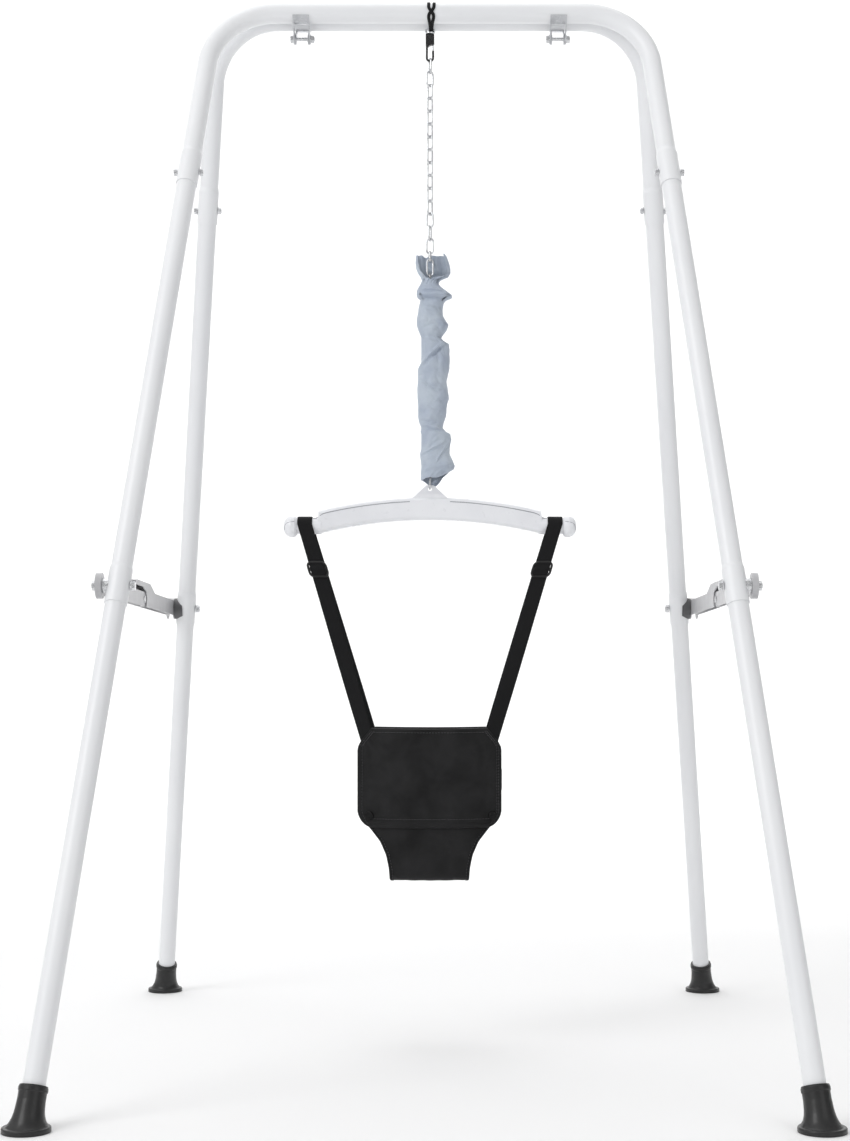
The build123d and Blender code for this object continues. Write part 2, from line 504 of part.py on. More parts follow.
# crotch band: curved front and back, hollow-sided, joined under the seat
GAP = PANEL_T / 2 + 0.2
cro = PANEL_R - GAP
cri = cro - 3.2
outl = Polygon((-88, 317), (-88, 312), (-76, 298), (-65, 284), (-57, 266), (-53, 248), (-52, 225), (52, 225), (53, 248), (57, 266), (65, 284), (76, 298), (88, 312), (88, 317), align=None)
cb = None
for fr in (-1, 1):
    half_ = arc_shell(fr, cro, cri, CROTCH_Z, 317) & xz(0 if fr > 0 else -200, 200 if fr > 0 else 0, outl)
    cb = half_ if cb is None else cb + half_
under = block(-70, 70, -90, 90, CROTCH_Z, CROTCH_Z + 3.2) & xz(-200, 200, outl)
for fr in (-1, 1):
    under = under & (Pos(0, fr * (PANEL_Y - PANEL_R), CROTCH_Z) * Cylinder(cro, 60))
cb = cb + under
save(cb, "crotch_band")


# side belts: from the front panel's edge round to the back panel's edge
BELT_X = 91.6          # inner face of a side belt, just inside the panels' edges
BELT_END = arc_y(BELT_X + 1.4) - PANEL_T / 2 - 0.6


def belt_solid(s):
    x, ye = BELT_X, BELT_END
    o = Polygon((x, -ye), (x + 1.4, -ye + 0.5), (x + 1.9, -26), (x + 2.1, 0), (x + 1.9, 26), (x + 1.4, ye - 0.5), (x, ye),
                (x + 0.5, 26), (x + 0.7, 0), (x + 0.5, -26), align=None)
    b = Pos(0, 0, 348) * extrude(o, 27)
    return side(b, s)


right_belt = belt_solid(1)
bx = BELT_X - 2.9
# side-release buckle on the right belt: socket at the back, two-pronged plug at the front
socket = block(bx, bx + 8.0, -6, 18, 347.5, 375.5)
socket = fillet(socket.edges().filter_by(Axis.X), 3.0)
socket -= block(bx + 2.0, bx + 6.0, -8, 13, 350.0, 373.0)
plug = block(bx + 1.0, bx + 7.0, -22, -6.3, 348.0, 375.0)
plug = fillet(plug.edges().filter_by(Axis.X), 2.5)
prong = block(bx + 2.4, bx + 5.6, -7.0, 11.0, 351.0, 354.6) + block(bx + 2.4, bx + 5.6, -7.0, 11.0, 368.4, 372.0) + block(bx + 2.4, bx + 5.6, -7.0, 9.0, 359.8, 363.2)
plug = plug + prong
right_belt -= block(bx - 4.5, bx + 12, -22.3, 18.3, 340, 380)
save(group(belt_solid(-1), right_belt), "side_belts")
save(socket, "buckle_socket")
save(plug, "buckle_plug")

# press studs at the flap's lower corners
st = []
for x in (-78.0, 82.0):
    y = -arc_y(x)
    cy = -(PANEL_Y - PANEL_R)
    n = Vector(x, y - cy, 0).normalized()
    c = Vector(0, cy, 316.5) + n * (PANEL_R + PANEL_T / 2)
    cap = rod(c + n * 0.02, c + n * 2.0, 6.2)
    cap = fillet(cap.edges().filter_by(lambda e: abs((e @ 0 - c).dot(n)) > 1.5), 1.2)
    st.append(cap)
save(group(*st), "seat_snaps")

# ---------------------------------------------------------------- harness straps and tri-glides
rin = SADDLE_R + 0.35
rout = rin + STRAP_T
SB_X, SB_Z = 84.0, 424.0            # where a strap meets its panel's corner
SB_Y = arc_y(SB_X)
TWIST_AT = 0.6                      # the strap is flat to here and then turns to meet the panel
ang = atan2(SB_Y - SADDLE_R - 1, SADDLE_Z - SB_Z)


def strap_run(s, fr, t0=0.0, t1=1.0, wx=STRAP_W, lo_off=0.0, hi_off=STRAP_T):
    """A length of the strap between shares t0 and t1 of its run; offsets are from its inner face, outwards."""
    n = Vector(0, fr * cos(ang), sin(ang))
    top = Vector(s * SADDLE_X, 0, SADDLE_Z) + n * rin
    low = Vector(s * SB_X, fr * SB_Y, SB_Z) - n * (STRAP_T / 2)
    turn = radians(21.0) * (-s * fr)

    def rect(t):
        c = top + (low - top) * t
        k = max(0.0, (t - TWIST_AT) / (1 - TWIST_AT))
        w = Vector(cos(turn * k), sin(turn * k), 0)
        nn = n
        # keep the thickness direction square to the width direction
        nn = (nn - w * nn.dot(w)).normalized()
        a, b = c - w * (wx / 2) + nn * lo_off, c + w * (wx / 2) + nn * lo_off
        d, e = c + w * (wx / 2) + nn * hi_off, c - w * (wx / 2) + nn * hi_off
        return Face(Wire.make_polygon([a, b, d, e], close=True))
    if t0 < TWIST_AT < t1:
        return loft([rect(t0), rect(TWIST_AT)], ruled=True) + loft([rect(TWIST_AT), rect(t1)], ruled=True)
    return loft([rect(t0), rect(t1)], ruled=True)


def wrap(s):
    a = degrees(ang)
    ringf = disc(0, SADDLE_Z, rout) - disc(0, SADDLE_Z, rin)
    p = 40
    keep = Polygon((0, SADDLE_Z), (-p * cos(ang), SADDLE_Z + p * sin(ang)), (-p, SADDLE_Z + p), (p, SADDLE_Z + p), (p * cos(ang), SADDLE_Z + p * sin(ang)), align=None)
    return yz(s * SADDLE_X - STRAP_W / 2, s * SADDLE_X + STRAP_W / 2, ringf & keep)


for s, sw in ((-1, "left"), (1, "right")):
    strap = wrap(s) + strap_run(s, -1) + strap_run(s, 1)
    # the strap ends on the panel's slanted corner
    for fr in (-1, 1):
        cut = Polygon((s * 76, PANEL_Z1 + 0.15), (s * 91.5, 413.15), (s * 110, 390), (s * 50, 390), (s * 50, PANEL_Z1 + 0.15), align=None)
        strap -= xz(-120, 120, cut)
    print(sw, "strap solids", len(strap.solids()))
    save(strap, f"harness_strap_{sw}")
    t0, t1 = 0.180, 0.262
    outer_ = strap_run(s, -1, t0, t1, 27.0, -2.0, STRAP_T + 2.0)
    hole = strap_run(s, -1, t0 - 0.05, t1 + 0.05, STRAP_W + 0.8, -0.35, STRAP_T + 0.35)
    save(outer_ - hole, f"tri_glide_{sw}")

n = Vector(0, -cos(ang), sin(ang))
top = Vector(SADDLE_X, 0, SADDLE_Z) + n * rin
low = Vector(SB_X, -SB_Y, SB_Z) - n * (STRAP_T / 2)
dd = (low - top).normalized()
print("strap direction right", [round(v, 5) for v in (dd.X, dd.Y, dd.Z)], "length", round((low - top).length, 1))
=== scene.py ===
import math

import bpy
import numpy as np
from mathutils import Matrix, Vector, noise


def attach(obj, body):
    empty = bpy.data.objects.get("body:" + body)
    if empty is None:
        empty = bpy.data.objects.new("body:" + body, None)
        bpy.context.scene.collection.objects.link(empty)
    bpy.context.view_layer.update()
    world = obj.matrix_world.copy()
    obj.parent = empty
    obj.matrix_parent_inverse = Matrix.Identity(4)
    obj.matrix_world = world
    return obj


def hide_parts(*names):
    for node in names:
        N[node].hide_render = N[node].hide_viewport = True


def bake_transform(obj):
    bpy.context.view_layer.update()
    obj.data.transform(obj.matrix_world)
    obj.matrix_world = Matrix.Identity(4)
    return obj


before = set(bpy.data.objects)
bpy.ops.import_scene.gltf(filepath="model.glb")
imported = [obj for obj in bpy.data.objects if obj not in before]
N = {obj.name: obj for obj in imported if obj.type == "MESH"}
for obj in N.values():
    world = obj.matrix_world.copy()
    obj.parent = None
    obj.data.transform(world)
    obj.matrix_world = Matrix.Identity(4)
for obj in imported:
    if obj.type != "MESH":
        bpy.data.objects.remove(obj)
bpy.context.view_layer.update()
scene = bpy.context.scene
pi = math.pi


# ------------------------------------------------------------------ materials
class Mat:
    """A small wrapper round a node tree with one Principled shader."""

    def __init__(self, name, **sockets):
        self.m = bpy.data.materials.new(name)
        self.m.use_nodes = True
        self.nt = self.m.node_tree
        self.nt.nodes.clear()
        out = self.nt.nodes.new("ShaderNodeOutputMaterial")
        self.b = self.nt.nodes.new("ShaderNodeBsdfPrincipled")
        self.nt.links.new(self.b.outputs[0], out.inputs[0])
        for k, v in sockets.items():
            self.b.inputs[k.replace("_", " ")].default_value = v
        self.height = None

    def new(self, kind, **inputs):
        n = self.nt.nodes.new(kind)
        for k, v in inputs.items():
            if hasattr(v, "is_output"):
                self.nt.links.new(v, n.inputs[k.replace("_", " ")])
            else:
                n.inputs[k.replace("_", " ")].default_value = v
        return n

    def obj(self):
        return self.new("ShaderNodeTexCoord").outputs["Object"]

    def uv(self):
        return self.new("ShaderNodeTexCoord").outputs["UV"]

    def math(self, op, a, b=0.0, c=0.0):
        n = self.nt.nodes.new("ShaderNodeMath")
        n.operation = op
        for i, v in enumerate((a, b, c)):
            if hasattr(v, "is_output"):
                self.nt.links.new(v, n.inputs[i])
            else:
                n.inputs[i].default_value = v
        return n.outputs[0]

    def noise(self, co, scale, detail=3.0, rough=0.55, distortion=0.0):
        n = self.nt.nodes.new("ShaderNodeTexNoise")
        self.nt.links.new(co, n.inputs["Vector"])
        n.inputs["Scale"].default_value = scale
        n.inputs["Detail"].default_value = detail
        n.inputs["Roughness"].default_value = rough
        n.inputs["Distortion"].default_value = distortion
        return n.outputs[0]

    def stretch(self, co, sx, sy, sz):
        n = self.nt.nodes.new("ShaderNodeMapping")
        self.nt.links.new(co, n.inputs["Vector"])
        n.inputs["Scale"].default_value = (sx, sy, sz)
        return n.outputs[0]

    def map(self, v, lo, hi, a, b):
        n = self.nt.nodes.new("ShaderNodeMapRange")
        self.nt.links.new(v, n.inputs["Value"])
        for k, x in (("From Min", lo), ("From Max", hi), ("To Min", a), ("To Max", b)):
            n.inputs[k].default_value = x
        return n.outputs["Result"]

    def mix(self, fac, ca, cb):
        n = self.nt.nodes.new("ShaderNodeMix")
        n.data_type = "RGBA"
        self.nt.links.new(fac, n.inputs["Factor"])
        for k, c in ((6, ca), (7, cb)):
            if hasattr(c, "is_output"):
                self.nt.links.new(c, n.inputs[k])
            else:
                n.inputs[k].default_value = (*c, 1)
        return n.outputs[2]

    def color(self, out):
        self.nt.links.new(out, self.b.inputs["Base Color"])
        return self

    def rough(self, out):
        self.nt.links.new(out, self.b.inputs["Roughness"])
        return self

    def bump(self, out, distance, strength=1.0):
        n = self.nt.nodes.new("ShaderNodeBump")
        n.inputs["Strength"].default_value = strength
        n.inputs["Distance"].default_value = distance
        self.nt.links.new(out, n.inputs["Height"])
        if self.height:
            self.nt.links.new(self.height, n.inputs["Normal"])
        self.height = n.outputs["Normal"]
        self.nt.links.new(self.height, self.b.inputs["Normal"])
        return self

    def sep(self, co):
        n = self.nt.nodes.new("ShaderNodeSeparateXYZ")
        self.nt.links.new(co, n.inputs[0])
        return n.outputs


def powder_coat(name, light, dark, gloss=(0.24, 0.34)):
    m = Mat(name, Coat_Weight=0.15, Coat_Roughness=0.15, Specular_IOR_Level=0.4)
    co = m.obj()
    big = m.noise(co, 5, 2)
    m.color(m.mix(m.map(big, 0.35, 0.65, 0, 1), dark, light))
    m.rough(m.map(m.noise(co, 40, 4), 0.3, 0.7, gloss[0], gloss[1]))
    m.bump(m.noise(co, 620, 2, 0.4), 0.00003, 0.4)       # orange peel
    return m.m


def metal(name, light, dark, rough=(0.2, 0.36), scale=300, brushed=None, metallic=1.0, spec=0.5):
    m = Mat(name, Metallic=metallic, Specular_IOR_Level=spec)
    co = m.obj()
    v = m.stretch(co, *brushed) if brushed else co
    n = m.noise(v, scale, 5, 0.6)
    blot = m.noise(co, 55, 4, 0.6)
    m.color(m.mix(m.map(m.math("MULTIPLY", n, blot), 0.12, 0.38, 0, 1), dark, light))
    m.rough(m.map(n, 0.3, 0.7, rough[0], rough[1]))
    m.bump(n, 0.00005, 0.35)
    return m.m


def moulded(name, light, dark, rough=(0.3, 0.45), grain=900, depth=0.00004, coat=0.0):
    m = Mat(name, Coat_Weight=coat, Coat_Roughness=0.1)
    co = m.obj()
    m.color(m.mix(m.map(m.noise(co, 25, 4), 0.35, 0.65, 0, 1), dark, light))
    m.rough(m.map(m.noise(co, 130, 4), 0.3, 0.7, rough[0], rough[1]))
    m.bump(m.noise(co, grain, 3, 0.6), depth, 0.6)
    m.bump(m.noise(co, 70, 2), 0.00012, 0.08)
    return m.m


def rubber(name):
    m = Mat(name, Specular_IOR_Level=0.45, Coat_Weight=0.25, Coat_Roughness=0.18)
    co = m.obj()
    z = m.sep(co)[2]
    dust = m.math("MULTIPLY", m.map(z, 0.0, 0.05, 1.0, 0.25), m.map(m.noise(co, 60, 5, 0.7), 0.42, 0.75, 0, 1))
    m.color(m.mix(dust, (0.003, 0.003, 0.0033), (0.012, 0.012, 0.012)))
    m.rough(m.map(m.noise(co, 220, 4), 0.3, 0.7, 0.36, 0.52))
    m.bump(m.noise(co, 1400, 2), 0.00006, 0.5)
    return m.m


def webbing(name, light, dark, pitch=0.0011, sheen=0.04):
    """Woven tape.  UV: u across and v along, in metres."""
    m = Mat(name, Sheen_Weight=sheen, Sheen_Roughness=0.4, Specular_IOR_Level=0.16)
    u, v, _ = m.sep(m.uv())
    # warp cords run along the tape; each row of weft shifts half a cord, so the pattern is a fine chevron
    zig = m.math("PINGPONG", m.math("MULTIPLY", u, 1.0), 0.005)
    a = m.math("SINE", m.math("MULTIPLY", m.math("ADD", v, zig), 2 * pi / (pitch * 1.3)))
    b = m.math("SINE", m.math("MULTIPLY", u, 2 * pi / pitch))
    h = m.math("ADD", m.math("MULTIPLY", m.math("MULTIPLY", a, b), 0.5), m.math("MULTIPLY", m.math("ABSOLUTE", b), 0.5))
    n = m.noise(m.obj(), 900, 3)
    hh = m.math("ADD", h, m.math("MULTIPLY", n, 0.5))
    m.color(m.mix(m.map(hh, -0.5, 1.2, 0, 1), dark, light))
    m.rough(m.map(hh, -0.5, 1.2, 0.85, 0.55))
    m.bump(hh, 0.00016, 0.8)
    return m.m


def cloth(name, light, dark, fold, yarn=0.00045, sheen=0.3, rough=(0.62, 0.8), weave=0.00007, fold_shade_amount=0.4, blot=26, spec=0.3):
    """Plain-woven cloth.  UV in metres."""
    m = Mat(name, Sheen_Weight=sheen, Sheen_Roughness=0.45, Specular_IOR_Level=spec)
    u, v, _ = m.sep(m.uv())
    a = m.math("SINE", m.math("MULTIPLY", u, 2 * pi / yarn))
    b = m.math("SINE", m.math("MULTIPLY", v, 2 * pi / yarn))
    h = m.math("MULTIPLY", a, b)
    co = m.obj()
    big = m.noise(co, blot, 4, 0.5, 0.4)
    # darker bands in the fold colour: painted fold shade, laid in random bands across the cloth
    fold_shade_bands = m.noise(m.stretch(co, 1, 1, 14), 160, 3)
    c1 = m.mix(m.map(big, 0.36, 0.64, 0, 1), dark, light)
    c2 = m.mix(m.map(fold_shade_bands, 0.3, 0.75, 0.0, fold_shade_amount), c1, fold)
    m.color(c2)
    m.rough(m.map(big, 0.3, 0.7, rough[0], rough[1]))
    m.bump(h, weave, 0.6)
    m.bump(m.noise(co, 260, 4), 0.00025, 0.3)
    m.bump(m.noise(co, 70, 3), 0.0010, 0.25)
    return m.m


M = {
    "frame_white": powder_coat("white_powder_coat", (0.83, 0.84, 0.855), (0.80, 0.81, 0.83), (0.30, 0.38)),
    "foot_rubber": rubber("foot_rubber"),
    "zinc": metal("zinc_plate", (0.78, 0.79, 0.80), (0.52, 0.53, 0.55), (0.18, 0.38), 420),
    "bracket": metal("bracket_steel", (0.66, 0.67, 0.69), (0.42, 0.43, 0.45), (0.25, 0.42), 300, (1, 1, 6)),
    "brace_grey": powder_coat("brace_grey", (0.50, 0.50, 0.515), (0.43, 0.43, 0.445), (0.3, 0.42)),
    "saddle": moulded("saddle_moulding", (0.10, 0.10, 0.105), (0.07, 0.07, 0.075), (0.4, 0.55)),
    "hook_black": metal("black_enamel", (0.02, 0.02, 0.021), (0.008, 0.008, 0.009), (0.2, 0.34), 500, None, 0.0),
    "chain": metal("nickel_chain", (0.80, 0.81, 0.82), (0.55, 0.56, 0.58), (0.08, 0.2), 700),
    "spring": metal("spring_wire", (0.42, 0.42, 0.43), (0.26, 0.26, 0.27), (0.25, 0.4), 600),
    "bar": moulded("bar_moulding", (0.84, 0.85, 0.88), (0.79, 0.80, 0.835), (0.26, 0.38), 1100, 0.00003, 0.35),
    # dark grey for the painted shadow along the bar's parting lines
    "spreader_shadow_line": moulded("parting_shadow_paint", (0.33, 0.34, 0.37), (0.25, 0.26, 0.29), (0.5, 0.6)),
    "plastic": moulded("black_moulding", (0.005, 0.005, 0.0055), (0.003, 0.003, 0.0033), (0.32, 0.5), 800, 0.00006),
    "snap": metal("snap_enamel", (0.003, 0.003, 0.0033), (0.002, 0.002, 0.0022), (0.14, 0.24), 500, None, 0.0, 0.22),
    "web": webbing("black_webbing", (0.010, 0.010, 0.011), (0.003, 0.003, 0.0033)),
    "sling": webbing("sling_tape", (0.014, 0.014, 0.015), (0.004, 0.004, 0.0045), 0.0008),
    # the third colour of each cloth is painted fold shade
    "seat": cloth("seat_cloth", (0.0150, 0.0150, 0.0158), (0.0040, 0.0040, 0.0044), (0.0105, 0.0105, 0.0113), 0.0006, 0.03, (0.42, 0.62), 0.00005, 0.30, 24, 0.18),
    "piping": cloth("binding_tape", (0.008, 0.008, 0.009), (0.004, 0.004, 0.0045), (0.008, 0.008, 0.009), 0.0005, 0.06, (0.6, 0.75), 0.00007, 0.3, 60, 0.2),
    "sleeve": cloth("sleeve_cloth", (0.50, 0.56, 0.63), (0.39, 0.445, 0.535), (0.40, 0.445, 0.545), 0.00042, 0.15, (0.7, 0.85), 0.00004, 0.30, 30, 0.3),
    "sleeve_tie": cloth("sleeve_tie", (0.36, 0.43, 0.53), (0.26, 0.31, 0.41), (0.3, 0.34, 0.44), 0.0005, 0.3),
}


def thread_mat():
    m = Mat("thread", Sheen_Weight=0.2, Specular_IOR_Level=0.4)
    co = m.obj()
    n = m.noise(co, 2500, 2)
    m.color(m.mix(m.map(n, 0.3, 0.7, 0, 1), (0.022, 0.022, 0.024), (0.055, 0.055, 0.059)))
    m.rough(m.map(n, 0.3, 0.7, 0.45, 0.6))
    m.bump(n, 0.00008, 0.6)
    return m.m


M["thread"] = thread_mat()

cad_mats = {
    "frame_white": ["front_top_tube", "rear_top_tube", "front_middle_leg_left", "front_middle_leg_right", "rear_middle_leg_left",
                    "rear_middle_leg_right", "front_lower_leg_left", "front_lower_leg_right", "rear_lower_leg_left", "rear_lower_leg_right"],
    "foot_rubber": ["front_foot_left", "front_foot_right", "rear_foot_left", "rear_foot_right"],
    "zinc": ["front_joint_bolts", "front_joint_nuts", "rear_joint_bolts", "rear_joint_nuts", "fold_hinge_bolts", "fold_hinge_nuts",
             "front_brace_bolts", "front_brace_nuts", "rear_brace_bolts", "rear_brace_nuts", "brace_elbow_rivet_left",
             "brace_elbow_rivet_right", "brace_end_rivet_left", "brace_end_rivet_right", "front_brace_spacers"],
    "bracket": ["front_hinge_brackets", "rear_hinge_brackets"],
    "brace_grey": ["front_brace_link_left", "front_brace_link_right", "rear_brace_link_left", "rear_brace_link_right"],
    "saddle": ["rear_brace_saddles"],
    "hook_black": ["snap_hook"],
    "chain": ["swivel_eye", "hook_bolt", "chain_upper", "chain_lower", "quick_link", "spring_top_ring", "spring_lower_ring"],
    "bar": ["spreader_bar"],
    "plastic": ["buckle_socket", "buckle_plug"],
    "snap": ["seat_snaps"],
}
for key, names in cad_mats.items():
    for n in names:
        o = N[n]
        o.data.materials.clear()
        o.data.materials.append(M[key])


# ------------------------------------------------------------------ mesh helpers
def mesh(name, verts, faces, mat, uvs=None, smooth=True):
    me = bpy.data.meshes.new(name)
    me.from_pydata([tuple(map(float, v)) for v in verts], [], [tuple(map(int, f)) for f in faces])
    me.materials.append(mat)
    if uvs is not None:
        layer = me.uv_layers.new(name="UVMap")
        idx = np.zeros(len(me.loops), np.int32)
        me.loops.foreach_get("vertex_index", idx)
        layer.data.foreach_set("uv", np.asarray(uvs, np.float32)[idx].ravel())
    me.polygons.foreach_set("use_smooth", [smooth] * len(me.polygons))
    me.update()
    o = bpy.data.objects.new(name, me)
    scene.collection.objects.link(o)
    return o


def grid_faces(n, m, wrap_i=False, wrap_j=False, base=0, flip=False):
    out = []
    for i in range(n if wrap_i else n - 1):
        for j in range(m if wrap_j else m - 1):
            a, b = i * m + j, i * m + (j + 1) % m
            c, d = ((i + 1) % n) * m + (j + 1) % m, ((i + 1) % n) * m + j
            f = (base + a, base + b, base + c, base + d)
            out.append(f[::-1] if flip else f)
    return out


def grid_normals(P):
    di = np.gradient(P, axis=0)
    dj = np.gradient(P, axis=1)
    n = np.cross(di, dj)
    return n / np.maximum(np.linalg.norm(n, axis=2, keepdims=True), 1e-12)


def slab(name, P, up, down, mat, uv=None, normals=None):
    """A closed thin solid on the surface grid P, up and down metres thick either way."""
    n, m, _ = P.shape
    nn = grid_normals(P) if normals is None else normals
    top = (P + nn * np.asarray(up)[..., None]).reshape(-1, 3)
    bot = (P - nn * np.asarray(down)[..., None]).reshape(-1, 3)
    f = grid_faces(n, m) + grid_faces(n, m, base=n * m, flip=True)
    edge = [i * m for i in range(n)] + [(n - 1) * m + j for j in range(1, m)] + [i * m + m - 1 for i in range(n - 2, -1, -1)] + list(range(m - 2, 0, -1))
    for k in range(len(edge)):
        a, b = edge[k], edge[(k + 1) % len(edge)]
        f.append((a, b, b + n * m, a + n * m))
    if uv is None:
        U = np.concatenate([np.zeros((n, 1)), np.cumsum(np.linalg.norm(np.diff(P, axis=1), axis=2), axis=1)], axis=1)
        V = np.concatenate([np.zeros((1, m)), np.cumsum(np.linalg.norm(np.diff(P, axis=0), axis=2), axis=0)], axis=0)
        uv = np.stack([U, V], axis=2)
    uv = uv.reshape(-1, 2)
    o = mesh(name, np.concatenate([top, bot]), f, mat, np.concatenate([uv, uv]))
    return tidy(o)


def tidy(o):
    """Faces outwards, from the mesh itself."""
    import bmesh
    bm = bmesh.new()
    bm.from_mesh(o.data)
    bmesh.ops.remove_doubles(bm, verts=bm.verts, dist=1e-6)
    bmesh.ops.recalc_face_normals(bm, faces=bm.faces)
    bm.to_mesh(o.data)
    bm.free()
    o.data.update()
    return o


def frames(path, closed=False):
    """Tangents and a carried normal along a polyline."""
    p = np.asarray(path, float)
    t = (np.roll(p, -1, 0) - np.roll(p, 1, 0)) if closed else np.gradient(p, axis=0)
    t /= np.linalg.norm(t, axis=1, keepdims=True)
    n = np.cross(t[0], [0, 0, 1.0])
    if np.linalg.norm(n) < 0.1:
        n = np.cross(t[0], [1.0, 0, 0])
    n /= np.linalg.norm(n)
    out = [n]
    for k in range(1, len(p)):
        n = n - t[k] * (n @ t[k])
        n = n / np.linalg.norm(n)
        out.append(n)
    return t, np.array(out)


def tube(name, path, r, mat, seg=10, closed=False, squash=None, normal=None):
    """A round wire along a path; squash (w, h) makes it an oval with its width along the given normals."""
    p = np.asarray(path, float)
    t, n = frames(p, closed)
    if normal is not None:
        n = np.asarray(normal, float)
        n = n - t * (n * t).sum(1, keepdims=True)
        n /= np.linalg.norm(n, axis=1, keepdims=True)
    b = np.cross(t, n)
    rr = np.broadcast_to(np.asarray(r, float), (len(p),))
    a = np.linspace(0, 2 * pi, seg, endpoint=False)
    w, h = squash or (1.0, 1.0)
    P = p[:, None] + rr[:, None, None] * (np.cos(a)[None, :, None] * w * n[:, None] + np.sin(a)[None, :, None] * h * b[:, None])
    L = np.concatenate([[0], np.cumsum(np.linalg.norm(np.diff(p, axis=0), axis=1))])
    uv = np.stack(np.broadcast_arrays((a * rr.mean())[None, :], L[:, None]), axis=2).reshape(-1, 2)
    f = grid_faces(len(p), seg, wrap_i=closed, wrap_j=True)
    v = P.reshape(-1, 3)
    if not closed:
        v = np.concatenate([v, p[:1], p[-1:]])
        uv = np.concatenate([uv, uv[:1], uv[-1:]])
        k = len(p) * seg
        f += [(j, k, (j + 1) % seg) for j in range(seg)]
        f += [((len(p) - 1) * seg + (j + 1) % seg, k + 1, (len(p) - 1) * seg + j) for j in range(seg)]
    return tidy(mesh(name, v, f, mat, uv))


def resample(path, step, closed=False):
    p = np.asarray(path, float)
    if closed:
        p = np.concatenate([p, p[:1]])
    s = np.concatenate([[0], np.cumsum(np.linalg.norm(np.diff(p, axis=0), axis=1))])
    k = max(3, int(round(s[-1] / step)) + 1)
    t = np.linspace(0, s[-1], k)
    q = np.stack([np.interp(t, s, p[:, i]) for i in range(3)], axis=1)
    return q[:-1] if closed else q


def smooth_path(p, times, closed=False):
    p = np.array(p, float)
    for _ in range(times):
        if closed:
            p = 0.5 * p + 0.25 * (np.roll(p, 1, 0) + np.roll(p, -1, 0))
        else:
            p[1:-1] = 0.5 * p[1:-1] + 0.25 * (p[2:] + p[:-2])
    return p


def stitches(name, path, nrm, mat, length=0.0028, gap=0.0011, r=0.00028, lift=0.00012):
    """A row of machine stitches along a path on a surface."""
    p = np.asarray(path, float)
    s = np.concatenate([[0], np.cumsum(np.linalg.norm(np.diff(p, axis=0), axis=1))])
    nn = np.asarray(nrm, float)

    def at(x):
        c = np.array([np.interp(x, s, p[:, i]) for i in range(3)])
        m_ = np.array([np.interp(x, s, nn[:, i]) for i in range(3)])
        return c, m_ / np.linalg.norm(m_)
    V, F = [], []
    x = gap
    while x + length < s[-1]:
        ks = (0, 0.15, 0.5, 0.85, 1)
        sink = (-0.5, 0.35, 0.8, 0.35, -0.5)
        rad = (0.3, 0.85, 1.0, 0.85, 0.3)
        base = len(V)
        c0, _ = at(x)
        c1, _ = at(x + length)
        t = (c1 - c0) / np.linalg.norm(c1 - c0)
        for k, sk, ra in zip(ks, sink, rad):
            c, m_ = at(x + length * k)
            side = np.cross(t, m_)
            side /= np.linalg.norm(side)
            c = c + m_ * (sk * r + lift)
            for a in range(6):
                V.append(c + (math.cos(a * pi / 3) * side + math.sin(a * pi / 3) * m_) * r * ra)
        for i in range(4):
            for a in range(6):
                F.append((base + i * 6 + a, base + i * 6 + (a + 1) % 6, base + (i + 1) * 6 + (a + 1) % 6, base + (i + 1) * 6 + a))
        F.append(tuple(base + a for a in range(5, -1, -1)))
        F.append(tuple(base + 24 + a for a in range(6)))
        x += length + gap
    return mesh(name, V, F, mat)


def ripple(x, y, z, scale, seed=0.0):
    return noise.noise(Vector((x * scale + seed, y * scale - seed * 0.7, z * scale + seed * 1.3)))


def arr(f, *a):
    return np.array([f(*map(float, q)) for q in zip(*(np.ravel(v) for v in a))]).reshape(np.shape(a[0]))


# ------------------------------------------------------------------ seat
W0, ZT, ZB = 0.095, 0.432, 0.301
PR, PY = 0.230, 0.076


def arc_y(x, r=PR):
    return PY - PR + np.sqrt(r * r - np.asarray(x, float) ** 2)


out_z = np.array([301, 302.2, 304.5, 308, 312, 317, 322, 402, 407, 413, 422.5, 432]) / 1000
out_w = np.array([77, 81.0, 85.2, 88.8, 91.6, 93.9, 95, 95, 94.2, 91.2, 83.6, 76]) / 1000
KEEP = [(-0.078, 0.3165), (0.082, 0.3165)]


